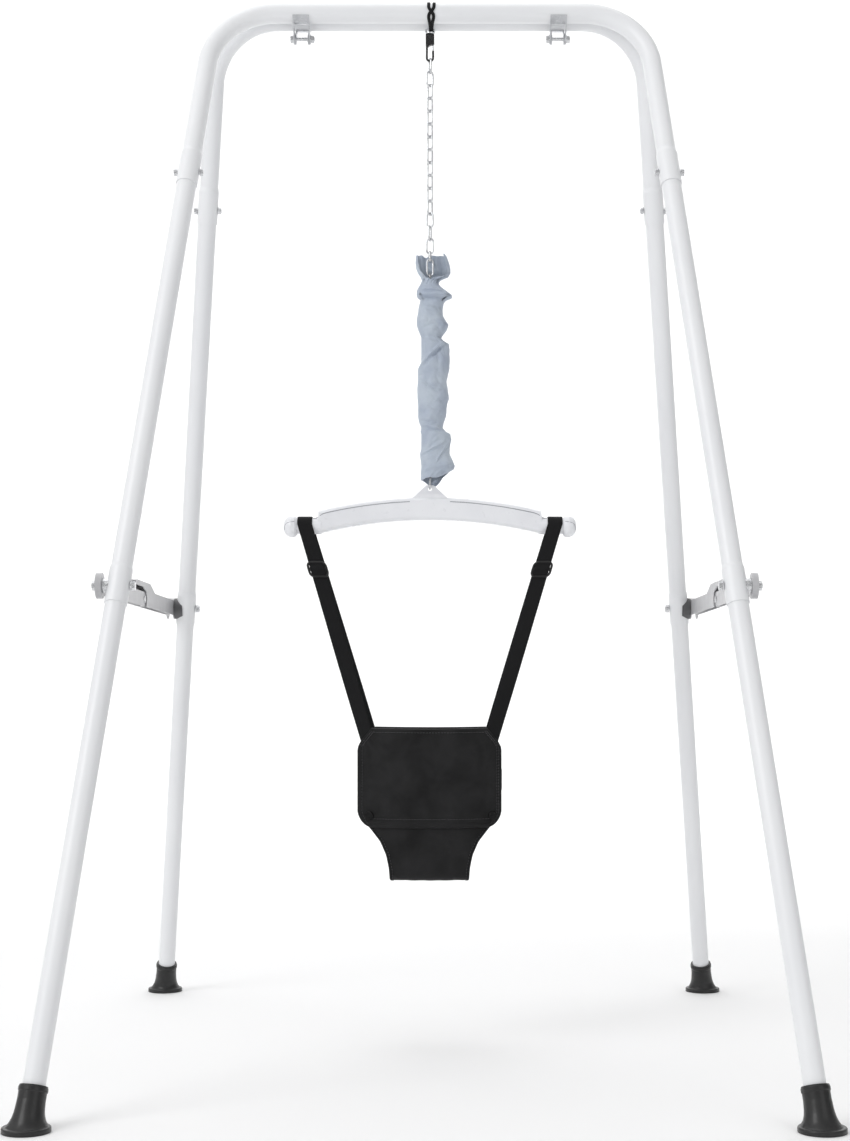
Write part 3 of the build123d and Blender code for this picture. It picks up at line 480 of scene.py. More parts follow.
def panel(name, fr, seed):
    nz, nx = 150, 150
    tz = np.linspace(0, 1, nz)
    tz = tz + 0.030 * np.sin(2 * pi * tz) * -1      # rows close up near the edges
    tz = np.clip((tz - tz[0]) / (tz[-1] - tz[0]), 0, 1)
    z = ZB + (ZT - ZB) * tz
    tu = np.linspace(-1, 1, nx)
    tu = np.sin(tu * pi / 2) * 0.35 + tu * 0.65
    w = np.interp(z, out_z, out_w)
    X = w[:, None] * tu[None, :]
    # the top edge dips a little between the straps, and the lower one is bowed
    dip = 0.0012 * (1 - (X / 0.08) ** 2) * np.clip((z[:, None] - 0.41) / 0.022, 0, 1)
    bow = 0.0008 * (1 - (X / 0.08) ** 2) * np.clip((0.32 - z[:, None]) / 0.02, 0, 1)
    Z = z[:, None] - dip - bow + 0 * X
    cy = -(PY - PR)
    ang = np.arcsin(X / PR)
    Rm = PR + 0 * X
    edge = np.minimum(np.minimum((1 - np.abs(tu))[None, :] * w[:, None], (z - ZB)[:, None] + 0 * X), (ZT - z)[:, None] + 0 * X)
    e = 0.0026
    k = np.sqrt(np.clip(1 - (1 - np.clip(edge / e, 0, 1)) ** 2, 0, 1))
    # folds: soft rolls across, pulls fanning from the strap corners, small puckers along the seams
    body = np.clip(edge / 0.02, 0, 1)
    roll = arr(lambda a, b: noise.noise(Vector((a * 15 + seed, b * 27 - seed, seed))), X, Z)
    roll2 = arr(lambda a, b: noise.noise(Vector((a * 42 + b * 18 - seed, b * 55 + seed, seed * 2))), X, Z)
    fine = arr(lambda a, b: noise.noise(Vector((a * 140 - seed, b * 140 + seed, 3.1))), X, Z)
    pull = np.zeros_like(X)
    for sx in (-1, 1):
        dx, dz = X - sx * 0.085, Z - 0.424
        r_ = np.hypot(dx, dz) + 1e-6
        th = np.arctan2(dz, dx * -sx)
        pull += np.sin(th * 13 + seed) * np.exp(-r_ / 0.032) * np.clip(r_ / 0.012, 0, 1)
    pucker = np.sin((Z if True else X) * 2 * pi / 0.0085 + seed) * np.exp(-((edge - 0.0075) / 0.004) ** 2)
    lift = body * (0.0011 + 0.0019 * roll + 0.0009 * roll2) + 0.0010 * pull * body + 0.00018 * fine * body + 0.00022 * pucker
    groove = 0.00055 * np.exp(-((edge - 0.0074) / 0.0006) ** 2)
    hem = 0.0006 * (1 / (1 + np.exp(-(0.3125 - Z) / 0.0005))) * np.clip(edge / 0.002, 0, 1)
    for sx_, sz_ in KEEP:
        if fr < 0:
            near = np.clip(np.hypot(X - sx_, Z - sz_) / 0.016, 0, 1)
            near = near * near * (3 - 2 * near)
            lift = lift * near
            hem = hem * near
    lift = np.clip(lift, -0.0005, 0.0045)
    up = 0.0024 * k + (lift - groove + hem) * np.clip(edge / 0.004, 0, 1)
    down = 0.0022 * k - 0.3 * lift * np.clip(edge / 0.004, 0, 1)
    P = np.stack([X, fr * (-cy * -1 * -1 + 0 * X), Z], axis=2)
    yo = (PY - PR) + (Rm + 0) * np.cos(ang)
    P[:, :, 1] = fr * yo
    nrm = np.stack([np.sin(ang), fr * np.cos(ang), 0 * X], axis=2)
    uv = np.stack([ang * PR, Z], axis=2)
    o = slab(name, P, up, np.maximum(down, 0.0), M["seat"], uv, nrm)
    surf = P + nrm * up[..., None]
    return o, X, Z, edge, surf, nrm, w, z, tu


def trace(surf, nrm, us, tu, row):
    """The surface point and normal on a grid row at share us."""
    c = np.array([np.interp(us, tu, surf[row, :, i]) for i in range(3)])
    m_ = np.array([np.interp(us, tu, nrm[row, :, i]) for i in range(3)])
    return c, m_


for fr, side, seed in ((-1, "front", 1.7), (1, "back", 8.3)):
    o, X, Z, edge, surf, nrm, w, z, tu = panel(f"{side}_panel_cloth", fr, seed)
    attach(o, "harness")
    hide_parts(f"seat_{side}_panel")
    # seam stitching 7.4 mm in from the sides and the slanted corners, and the hem's row
    for sx in (-1, 1):
        for off, tag in ((0.0074, "seam"),) + (((0.0052, "edge"),) if sx > 0 else ()):
            pts, ns = [], []
            for row in range(6, len(z) - 3):
                us = sx * (1 - off / w[row])
                c, m_ = trace(surf, nrm, us, tu, row)
                pts.append(c)
                ns.append(m_)
            st = stitches(f"{side}_{tag}_stitches_{'left' if sx < 0 else 'right'}", pts, ns, M["thread"])
            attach(st, "harness")
    for zz, tag in ((0.3125, "hem"), (0.4265, "top")):
        row = int(np.argmin(abs(z - zz)))
        us = np.linspace(-0.91, 0.91, 160)
        pts = [trace(surf, nrm, u, tu, row)[0] for u in us]
        ns = [trace(surf, nrm, u, tu, row)[1] for u in us]
        st = stitches(f"{side}_{tag}_stitches", pts, ns, M["thread"])
        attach(st, "harness")
    # slanted corners: a short double row across each, where the strap is sewn in
    for sx in (-1, 1):
        for off in (0.0, 0.0024):
            pts, ns = [], []
            for t in np.linspace(0, 1, 30):
                x_, z_ = sx * (0.0738 + (0.0905 - 0.0738) * t - off * 0.8), 0.4285 + (0.4085 - 0.4285) * t - off * 0.6
                row = int(np.argmin(abs(z - z_)))
                c, m_ = trace(surf, nrm, x_ / w[row], tu, row)
                pts.append(c)
                ns.append(m_)
            st = stitches(f"{side}_corner_stitches_{'left' if sx < 0 else 'right'}_{int(off * 1e4)}", pts, ns, M["thread"])
            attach(st, "harness")

# crotch band: one piece of cloth down the front, under and up the back
cz = np.array([225, 231, 248, 266, 284, 298, 312, 317]) / 1000
cw = np.array([51.6, 52, 53.2, 57, 65, 76, 87.6, 88]) / 1000
OFF = 0.0027 + 0.0016
rc_ = 0.010


def band_path():
    """Down the front and under: (a, z, half width), where a runs from -1 at the front to 1 at the back."""
    rows = []
    for zz in np.linspace(0.317, 0.2326 + rc_, 90):
        rows.append((-1.0, zz))
    for f in np.linspace(0, pi / 2, 14)[1:]:
        rows.append((-1.0 + rc_ / 0.0725 * (1 - math.cos(f)), 0.2326 + rc_ - rc_ * math.sin(f)))
    rows_mid = [(a, 0.2326) for a in np.linspace(rows[-1][0], -rows[-1][0], 60)[1:-1]]
    back = [(-a, zz) for a, zz in rows[::-1]]
    return np.array(rows + rows_mid + back)


bp = band_path()
wz = np.interp(bp[:, 1], cz, cw)
ker = np.ones(9) / 9
wz = np.convolve(np.pad(wz, 4, mode="edge"), ker, mode="valid")
nu = 90
tu = np.linspace(-1, 1, nu)
tu = np.sin(tu * pi / 2) * 0.3 + tu * 0.7
X = wz[:, None] * tu[None, :]
Y = bp[:, 0][:, None] * (arc_y(X) - OFF)
sag = 0.0012 * (1 - bp[:, 0][:, None] ** 2) * (1 - tu[None, :] ** 2)
Z = bp[:, 1][:, None] - sag + 0 * X
P = np.stack([X, Y, Z], axis=2)
nn = grid_normals(P)
mid = P.mean(axis=(0, 1)) + np.array([0, 0, 0.03])
if ((P - mid) * nn).sum() < 0:
    nn = -nn
edge = (1 - np.abs(tu))[None, :] * wz[:, None] + 0 * X
k = np.sqrt(np.clip(1 - (1 - np.clip(edge / 0.0016, 0, 1)) ** 2, 0, 1))
body = np.clip(edge / 0.015, 0, 1)
und = arr(lambda a, b, c: noise.noise(Vector((a * 30 + 5, b * 30, c * 38))), X, Y, Z)
fin = arr(lambda a, b, c: noise.noise(Vector((a * 110, b * 110 + 2, c * 110))), X, Y, Z)
vfold = arr(lambda a, c: noise.noise(Vector((a * 75 + 2, 0, c * 14))), X, Z)
low = np.clip((0.300 - Z) / 0.02, 0, 1)
lift = body * low * (0.0009 * und + 0.0007 * vfold + 0.0002 * fin)
up = 0.0014 * k + lift
down = 0.0014 * k - 0.4 * lift
s_uv = np.concatenate([[0], np.cumsum(np.linalg.norm(np.diff(P[:, nu // 2], axis=0), axis=1))])
uv = np.stack([X, s_uv[:, None] + 0 * X], axis=2)
band = slab("crotch_band_cloth", P, up, np.maximum(down, 0), M["seat"], uv, nn)
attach(band, "harness")
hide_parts("crotch_band")
for sx, sn in ((-1, "left"), (1, "right")):
    j = 0 if sx < 0 else nu - 1
    inner = 0.0030
    pts, ns, lat, row_i = [], [], [], []
    for i in range(6, len(bp) - 6):
        us = sx * (1 - inner / wz[i])
        c = np.array([np.interp(us, tu, P[i, :, q]) for q in range(3)])
        m_ = np.array([np.interp(us, tu, nn[i, :, q]) for q in range(3)])
        l_ = P[i, -1] - P[i, 0]
        pts.append(c)
        ns.append(m_)
        lat.append(l_ / np.linalg.norm(l_))
    pts, ns, lat = np.array(pts), np.array(ns), np.array(lat)
    bind = tube(f"leg_binding_{sn}", pts, 0.0031, M["piping"], 16, squash=(1.0, 0.66), normal=lat)
    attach(bind, "harness")
    st = stitches(f"leg_binding_stitches_{sn}", pts + ns * 0.00185 - lat * sx * 0.0016, ns, M["thread"])
    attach(st, "harness")

# ------------------------------------------------------------------ straps
SR, ST, SW = 0.011, 0.0016, 0.020
rin = SR + 0.00035
sbx, sbz, sdx, sdz = 0.084, 0.424, 0.168, 0.7025
sby = float(arc_y(sbx))
ang = math.atan2(sby - SR - 0.001, sdz - sbz)


def ribbon(name, path, width_dir, normal, width, thick, mat, cols=14, ridge=0.00018, uvs=(0.0, 0.0)):
    """A flat tape: path along it, with its width and face directions, a rounded selvedge and thin edge cords."""
    p = np.asarray(path, float)
    t = np.linspace(-1, 1, cols + 1)
    P = p[:, None] + np.asarray(width_dir)[:, None] * (t * width / 2)[None, :, None]
    prof = np.sqrt(np.clip(1 - np.abs(t) ** 10, 0, 1)) * thick / 2 + ridge * np.exp(-((np.abs(t) - 0.9) / 0.05) ** 2)
    prof[0] = prof[-1] = thick * 0.12
    h = np.broadcast_to(prof, P.shape[:2])
    s = np.concatenate([[0], np.cumsum(np.linalg.norm(np.diff(p, axis=0), axis=1))])
    uv = np.stack(np.broadcast_arrays(uvs[0] + (t * width / 2)[None, :], uvs[1] + s[:, None]), axis=2)
    return slab(name, P, h, h, mat, uv, np.broadcast_to(np.asarray(normal)[:, None], P.shape).copy())


def strap_line(s, fr, t):
    n = np.array([0, fr * math.cos(ang), math.sin(ang)])
    top = np.array([s * sdx, 0, sdz]) + n * (rin + ST / 2)
    low_ = np.array([s * sbx, fr * sby, sbz]) + n * 0.0
    c = top + (low_ - top) * t
    kk = max(0.0, (t - 0.6) / 0.4)
    turn = math.radians(21.0) * (-s * fr) * kk
    w_ = np.array([math.cos(turn), math.sin(turn), 0])
    nn_ = n - w_ * (n @ w_)
    return c, w_, nn_ / np.linalg.norm(nn_)


for s, sw in ((-1, "left"), (1, "right")):
    pts, wd, nd = [], [], []
    for fr, order in ((-1, 1), (1, -1)):
        ts = np.linspace(1.035, 0, 110) if fr < 0 else np.linspace(0, 1.035, 110)
        for t in ts:
            c, w_, n_ = strap_line(s, fr, t)
            wob = 0.0009 * noise.noise(Vector((s * 3.1, fr * 2.2, t * 5.0))) * min(1, 4 * t) * min(1, max(0, 4 * (1 - t)))
            pts.append(c + n_ * wob)
            wd.append(w_)
            nd.append(n_)
        if fr < 0:
            for a in np.linspace(ang, pi - ang, 26)[1:-1]:
                n_ = np.array([0, -math.cos(a), math.sin(a)])
                pts.append(np.array([s * sdx, 0, sdz]) + n_ * (rin + ST / 2))
                wd.append(np.array([1.0, 0, 0]))
                nd.append(n_)
    o = ribbon(f"strap_tape_{sw}", pts, wd, nd, SW, 0.0015, M["web"])
    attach(o, "harness")
    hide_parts(f"harness_strap_{sw}")

    # tri-glide: a rounded frame with a middle bar, and the bit of tape that goes over the bar
    tc = 0.221
    c, w_, n_ = strap_line(s, -1, tc)
    c2, _, _ = strap_line(s, -1, tc + 0.01)
    dn = (c2 - c) / np.linalg.norm(c2 - c)
    face = np.cross(dn, w_)
    face = face if face @ n_ > 0 else -face
    c = c + face * 0.0007

    def loop(hw, hl, r, k=10):
        q = []
        for cx_, cy_, a0 in ((hw - r, hl - r, 0), (-(hw - r), hl - r, 90), (-(hw - r), -(hl - r), 180), (hw - r, -(hl - r), 270)):
            for a in np.linspace(a0, a0 + 90, k):
                q.append((cx_ + r * math.cos(math.radians(a)), cy_ + r * math.sin(math.radians(a))))
        return np.array(q)
    q = loop(0.0121, 0.0103, 0.0062)
    ring_pts = c + q[:, :1] * w_ + q[:, 1:] * dn
    ring_pts = resample(ring_pts, 0.0012, closed=True)
    fr_ = tube(f"glide_frame_{sw}", ring_pts, 0.0016, M["plastic"], 14, closed=True, squash=(1.0, 1.25), normal=np.cross(np.gradient(ring_pts, axis=0), face))
    bar_ = tube(f"glide_bar_{sw}", [c + w_ * x for x in np.linspace(-0.0121, 0.0121, 14)], 0.0016, M["plastic"], 12, squash=(1.6, 1.0), normal=[dn] * 14)
    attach(fr_, f"glide_{sw}")
    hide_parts(f"tri_glide_{sw}")
    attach(bar_, f"glide_{sw}")
    yy = np.linspace(-0.0088, 0.0088, 34)
    hump = 0.0011 + 0.0021 * np.exp(-(yy / 0.0040) ** 2)
    hp = [c + dn * a + face * b for a, b in zip(yy, hump)]
    g = np.gradient(np.array(hp), axis=0)
    g /= np.linalg.norm(g, axis=1, keepdims=True)
    hn = np.cross(g, w_)
    hn *= np.sign((hn * face).sum(1))[:, None]
    tp = ribbon(f"glide_tape_{sw}", hp, [w_] * len(hp), hn, 0.0196, 0.0013, M["web"])
    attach(tp, f"glide_{sw}")

# side belts
hb = 0.0135
for s, sw in ((-1, "left"), (1, "right")):
    prof = [(0.0922, -0.0532), (0.0925, -0.048), (0.0930, -0.026), (0.0931, 0), (0.0930, 0.026), (0.0925, 0.048), (0.0922, 0.0532)]
    path = smooth_path(resample([(s * a, b, 0.3615) for a, b in prof], 0.0016), 8)
    parts = [path] if s < 0 else [path[path[:, 1] < -0.0225], path[path[:, 1] > 0.0187]]
    for k_, pth in enumerate(parts):
        g = np.gradient(pth, axis=0)
        g /= np.linalg.norm(g, axis=1, keepdims=True)
        up_ = np.tile([0, 0, 1.0], (len(pth), 1))
        nd = np.cross(g, up_)
        nd *= np.sign(nd[:, 0] * s)[:, None]
        o = ribbon(f"side_belt_{sw}_{k_ + 1}", pth, up_, nd, 2 * hb, 0.0014, M["web"])
        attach(o, "harness")
        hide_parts("side_belts")
        ll = float(np.linalg.norm(np.diff(pth, axis=0), axis=1).sum())

# ------------------------------------------------------------------ hanging sling
BY_, BZ_, EZ = 0.015, 1.3873, 1.3716


def hull(pts):
    pts = sorted(set((round(a, 7), round(b, 7)) for a, b in pts))

    def half(seq):
        out = []
        for p in seq:
            while len(out) >= 2 and (out[-1][0] - out[-2][0]) * (p[1] - out[-2][1]) - (out[-1][1] - out[-2][1]) * (p[0] - out[-2][0]) <= 0:
                out.pop()
            out.append(p)
        return out
    return half(pts)[:-1] + half(pts[::-1])[:-1]


def circle(cy_, cz_, r, k=64):
    return [(cy_ + r * math.cos(a), cz_ + r * math.sin(a)) for a in np.linspace(0, 2 * pi, k, endpoint=False)]


for tag, sgn, lift_ in (("a", 1, 0.00072), ("b", -1, 0.00058)):
    loop_yz = hull(circle(-BY_, BZ_, 0.0127 + 0.0003 + lift_) + circle(BY_, BZ_, 0.0127 + 0.0003 + lift_) + circle(0, EZ, 0.0015 + lift_))
    pth = resample([(0, a, b) for a, b in loop_yz], 0.0008, closed=True)
    # start at the eye, go up the front
    k0 = int(np.argmin(np.hypot(pth[:, 1], pth[:, 2] - (EZ - 0.002))))
    pth = np.roll(pth, -k0, axis=0)
    if pth[10, 1] > pth[-10, 1]:
        pth = pth[::-1]
    xs, extra = [], []
    for q in pth:
        h_ = (q[2] - 1.3692) / (1.4003 - 1.3692)
        h_ = min(max(h_, 0), 1)
        # together at the eye, apart, across the middle of the bar's face, and apart again over the top
        xx = np.interp(h_, [0, 0.08, 0.30, 0.42, 0.53, 0.66, 0.80, 1.0], [0.0006, 0.0012, 0.0034, 0.0030, 0.0, -0.0032, -0.0036, -0.0036])
        xs.append(0.0016 + sgn * xx + 0.0006 * h_)
        extra.append(0.00075 * sgn * math.exp(-((h_ - 0.53) / 0.13) ** 2) + 0.00075 * (sgn + 1) / 2 * math.exp(-(h_ / 0.10) ** 2))
    ext = smooth_path(np.stack([xs, extra, extra], axis=1), 6, closed=True)
    cen = np.array([0, 0.0, 1.3865])
    g = (np.roll(pth, -1, 0) - np.roll(pth, 1, 0))
    g /= np.linalg.norm(g, axis=1, keepdims=True)
    nd = np.cross(g, [1.0, 0, 0])
    nd *= np.sign((nd * (pth - cen)).sum(1))[:, None]
    nd = smooth_path(nd, 4, closed=True)
    nd /= np.linalg.norm(nd, axis=1, keepdims=True)
    line = pth + nd * np.maximum(ext[:, 1:2], 0) * 1.0
    line[:, 0] = ext[:, 0]
    line = np.concatenate([line, line[:1]])
    nd = np.concatenate([nd, nd[:1]])
    g = np.gradient(line, axis=0)
    g /= np.linalg.norm(g, axis=1, keepdims=True)
    wdir = np.cross(nd, g)
    wdir *= np.sign(wdir[:, :1])
    wdir /= np.linalg.norm(wdir, axis=1, keepdims=True)
    o = ribbon(f"sling_tape_{tag}", line, wdir, nd, 0.0042, 0.0012, M["sling"], cols=10, ridge=0.00008)
    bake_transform(o)
    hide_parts("hanging_sling")
    ll = float(np.linalg.norm(np.diff(line, axis=0), axis=1).sum())

# ------------------------------------------------------------------ springs
turns = 78
COT, COB, RCO = 1.0105, 0.7855, 0.0091
tt = np.linspace(0, 1, turns * 18 + 1)
coil = np.stack([RCO * np.cos(2 * pi * turns * tt), RCO * np.sin(2 * pi * turns * tt), COT + (COB - COT) * tt], axis=1)


def end(z_coil, z_eye, sgn, plane):
    er = 0.0046
    zc = z_eye - sgn * er
    lead = [(RCO * math.cos(a) * (1 - a / pi * 0.0), RCO * math.sin(a), z_coil + sgn * 0.003 * a / pi) for a in np.linspace(0, pi / 2, 8)]
    y0 = RCO
    lead += [(0, y0 * (1 - q), z_coil + sgn * (0.0015 + 0.0015 * q)) for q in (0.2, 0.45, 0.7, 0.9)]
    lead += [(0, 0, z_coil + sgn * 0.0035 + (zc - sgn * er - z_coil - sgn * 0.0035) * q) for q in (0.0, 0.35, 0.7)]
    eye = []
    for a in np.linspace(-pi / 2, 1.42 * pi, 30):
        r_, h_ = er * math.cos(a), er * math.sin(a) * sgn
        eye.append((0, r_, zc + h_) if plane == "yz" else (r_, 0, zc + h_))
    return np.array(lead + eye)


top_end = end(COT, 1.0422, 1, "yz")
bot_end = end(COB, 0.76805, -1, "xz")
bot_end[:, 1] *= -1
whole = np.concatenate([top_end[::-1], coil[1:-1], bot_end])
sp = tube("spring_coil", smooth_path(whole, 2), 0.00138, M["spring"], 10)
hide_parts("extension_spring")
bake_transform(sp)

t2 = np.linspace(0, 1, 9 * 14 + 1)
hs = np.stack([0.004 + 0.00095 * np.cos(2 * pi * 9 * t2), 0.00095 * np.sin(2 * pi * 9 * t2), 1.3622 - 0.0067 * t2], axis=1)
ho = tube("hook_return_coil", hs, 0.00020, M["spring"], 8)
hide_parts("hook_bolt_spring")
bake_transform(ho)

# ------------------------------------------------------------------ sleeve
def zz(v):
    return 0.470 + (698.7 - v) / 742.5


def xx(p):
    return (p - 430.04) / 742.5


rows = [(252, 417.5, 443.5), (256, 416.2, 446.5), (262, 415.4, 448.6), (268, 416, 450.2), (273, 418, 450.4), (277, 420.5, 448), (280.5, 422, 440), (284, 420.5, 438.6),
        (287, 418.5, 441), (291, 416.8, 446.5), (295, 416.6, 451.6), (297.6, 417.2, 452), (299.6, 420.5, 446.5), (303, 420.0, 443.8), (310, 418.2, 443), (316, 417.6, 443.4),
        (320, 417.2, 445.4), (325, 417, 448.4), (330, 418.2, 446.6), (338, 421.4, 441.4), (341.5, 421.6, 444), (344, 422.2, 449), (349, 422.5, 449.8), (358, 422.4, 449.8),
        (365, 420.4, 449.8), (369, 418.4, 449.4), (381, 417.6, 446.8), (390, 417.4, 448), (399, 417.6, 448.8), (408, 418, 446.6), (416, 418, 446), (423, 419.4, 443.8),
        (428, 421.2, 442.8), (431.5, 420.8, 446), (434, 421.6, 450.6), (440, 423.2, 451.6), (447, 421.6, 450), (454, 420, 449.8), (460, 420.6, 452.4), (466, 421.6, 454.8),
        (469, 421.4, 454), (472, 421, 449), (477, 420.6, 445), (487, 421, 444)]
rz = np.array([zz(a) for a, _, _ in rows])[::-1]
rl = np.array([xx(b) for _, b, _ in rows])[::-1]
rr = np.array([xx(c_) for _, _, c_ in rows])[::-1]
# overlapping folds across the front and back: (from, to, height of the step, width)
folds = [((423, 291.5), (442, 293), 0.0016, 0.0016), ((419, 297.5), (453, 298.6), 0.0024, 0.0022), ((419, 369), (446, 343), 0.0026, 0.0024),
         ((417, 378), (437, 391), 0.0011, 0.0022), ((416, 419), (431, 422.5), 0.0013, 0.0018), ((418, 426), (452, 433.5), 0.0026, 0.0023),
         ((419, 456.5), (441, 446.5), 0.0017, 0.0018), ((438, 461), (453, 438), 0.0018, 0.0022), ((436, 322), (450, 331), 0.0012, 0.0026),
         ((417, 308), (433, 313), 0.0009, 0.0026), ((430, 405), (448, 398), 0.0010, 0.0026), ((424, 472), (456, 465), 0.0012, 0.0024)]
nz, nt = 460, 192
t = np.linspace(0, 1, nz)
th = np.linspace(0, 2 * pi, nt, endpoint=False)
P = np.zeros((nz, nt, 3))
for j, a in enumerate(th):
    ca, sa = math.cos(a), math.sin(a)
    # hem: high at the right, lowest at the back; ruffle: cut low in front, where the ring comes out
    hem_z = 0.7650 + 0.0090 * max(0, ca) ** 1.5 * (1 - 0.4 * max(0, sa)) - 0.0070 * max(0, sa) ** 2 + 0.0016 * math.sin(3 * a + 0.6)
    front = max(0.0, -sa)
    notch = 0.033 * (1 / (1 + math.exp(-(front - 0.62) / 0.06)))
    rim = 1.0688 - notch + 0.0010 * math.sin(5 * a + 1.0) + 0.0008 * math.sin(9 * a) + 0.0012 * max(0, ca)
    for i in range(nz):
        z_ = hem_z + (rim - hem_z) * t[i]
        l_, r_ = np.interp(z_, rz, rl), np.interp(z_, rz, rr)
        cx_, hx = (l_ + r_) / 2, (r_ - l_) / 2
        up_ = min(max((z_ - 1.029) / 0.022, 0), 1)
        up_ = up_ * up_ * (3 - 2 * up_)
        hy = (0.5 * hx + 0.5 * 0.0165) * (1 - up_) + 0.0062 * up_
        neck = math.exp(-((z_ - 1.0335) / 0.0058) ** 2)
        sl = z_ + 0.006 * math.sin(a + 14 * z_) + 0.004 * math.sin(2 * a - 31 * z_)
        v1 = noise.noise(Vector((ca * 0.8 + 4, sa * 0.8, sl / 0.0210)))
        v2 = noise.noise(Vector((ca * 1.7 - 2, sa * 1.7 + 7, sl / 0.0105)))
        v3 = noise.noise(Vector((ca * 4.0 + 1, sa * 4.0, sl / 0.0060)))
        bill = (abs(v1) * 2.4 - 0.55) * 0.0021 + (abs(v2) * 2.2 - 0.5) * 0.0008 + v3 * 0.00025
        bill *= (1 - 0.6 * up_) * (1 - 0.6 * neck)
        # folds follow the front face; the back has the same ones turned half way round
        x_ = cx_ + hx * ca
        step = 0.0
        for (p0, v0), (p1, v1_), am, wd_ in folds:
            f_ = (x_ - xx(p0)) / (xx(p1) - xx(p0))
            ends = 1 / (1 + math.exp(-(f_ + 0.02) / 0.05)) / (1 + math.exp(-(1.02 - f_) / 0.05))
            q_ = (z_ - (zz(v0) + (zz(v1_) - zz(v0)) * f_) - (0 if sa < 0 else 0.006)) / wd_
            if abs(q_) < 5:
                step += am * ends * 1.5 * q_ * math.exp(-q_ * q_ / 2) * (abs(sa) ** 0.5) * (1 if sa < 0 else 0.8)
        pleat = 0.0
        if up_ > 0:
            pleat = up_ * (0.0011 * math.sin(7 * a + 0.8 + 9 * (z_ - 1.03)) + 0.0008 * math.sin(12 * a + 2.2) + 0.0012 * noise.noise(Vector((ca * 2.6, sa * 2.6, z_ / 0.011))))
        gather = 0.0010 * neck * math.sin(15 * a) + 0.0006 * neck * math.sin(26 * a + 1)
        radial = bill + pleat + gather + step
        px_, py_ = cx_ + (hx + radial * 0.25) * ca, 0.0012 + 0.0035 * up_ + (hy + radial) * sa * (1 - 0.42 * neck)
        if z_ < 1.018:                  # the cloth lies outside the spring
            d_ = math.hypot(px_, py_)
            if d_ < 0.0118:
                px_, py_ = px_ * 0.0118 / d_, py_ * 0.0118 / d_
        P[i, j] = (px_, py_, z_)
# ruffle curls outwards at its rim
curl = np.clip((t - 0.965) / 0.035, 0, 1)[:, None] ** 2
P[:, :, 2] -= 0.0006 * curl
out_dir = np.stack([np.cos(th), np.sin(th), 0 * th], axis=1)
P += out_dir[None] * (0.0006 * curl)[..., None]


def open_sheet(name, P, thick, mat):
    n_, m_, _ = P.shape
    Pc = np.concatenate([P, P[:, :1]], axis=1)
    du = np.linalg.norm(np.diff(Pc, axis=1), axis=2)
    U = np.concatenate([np.zeros((n_, 1)), np.cumsum(du, axis=1)], axis=1)
    U = U / U[:, -1:] * U[:, -1].mean()
    dv = np.linalg.norm(np.diff(P, axis=0), axis=2)
    V = np.concatenate([np.zeros((1, m_)), np.cumsum(dv, axis=0)], axis=0)
    V = np.concatenate([V, V[:, :1]], axis=1)
    # normals of the closed tube
    di = np.gradient(P, axis=0)
    dj = (np.roll(P, -1, 1) - np.roll(P, 1, 1))
    nn_ = np.cross(di, dj)
    nn_ /= np.maximum(np.linalg.norm(nn_, axis=2, keepdims=True), 1e-12)
    c_ = P.mean(axis=1, keepdims=True)
    if ((P - c_) * nn_).sum() < 0:
        nn_ = -nn_
    top, bot = P.reshape(-1, 3), (P - nn_ * thick).reshape(-1, 3)
    f = grid_faces(n_, m_, wrap_j=True) + grid_faces(n_, m_, wrap_j=True, base=n_ * m_, flip=True)
    for row in (0, n_ - 1):
        for j in range(m_):
            a, b = row * m_ + j, row * m_ + (j + 1) % m_
            f.append((a, b, b + n_ * m_, a + n_ * m_))
    uvp = np.stack([U[:, :-1], V[:, :-1]], axis=2).reshape(-1, 2)
    o = mesh(name, np.concatenate([top, bot]), f, mat, np.concatenate([uvp, uvp]))
    area = float((np.linalg.norm(np.cross(np.diff(P, axis=0)[:, :-1], np.diff(P, axis=1)[:-1]), axis=2)).sum())
    return tidy(o), area, float(U[:, -1].mean()), float(V[-1].mean())


sleeve, area, wide, long_ = open_sheet("spring_sleeve_cloth", P, 0.0007, M["sleeve"])
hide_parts("spring_sleeve")
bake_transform(sleeve)
print("sleeve area", round(area, 4), "girth", round(wide, 4), "length", round(long_, 4))

# ------------------------------------------------------------------ spreader bar's moulding lines, drawn as dark grey beads of painted shadow
AR = 0.617
zc0 = 0.7255 - AR


def cap_r(x):
    return float(np.interp(x, [0.146, 0.1785, 0.1795, 0.182, 0.187, 0.192, 0.1954, 0.197], [0.011, 0.011, 0.0122, 0.0140, 0.0144, 0.0126, 0.0090, 0.0040]))


def on_round(x, z_, sgn=-1):
    zc_ = 0.7025 if x < 0.179 else 0.7017
    r_ = cap_r(x)
    return (x, sgn * math.sqrt(max(r_ * r_ - (z_ - zc_) ** 2, 1e-8)), z_)


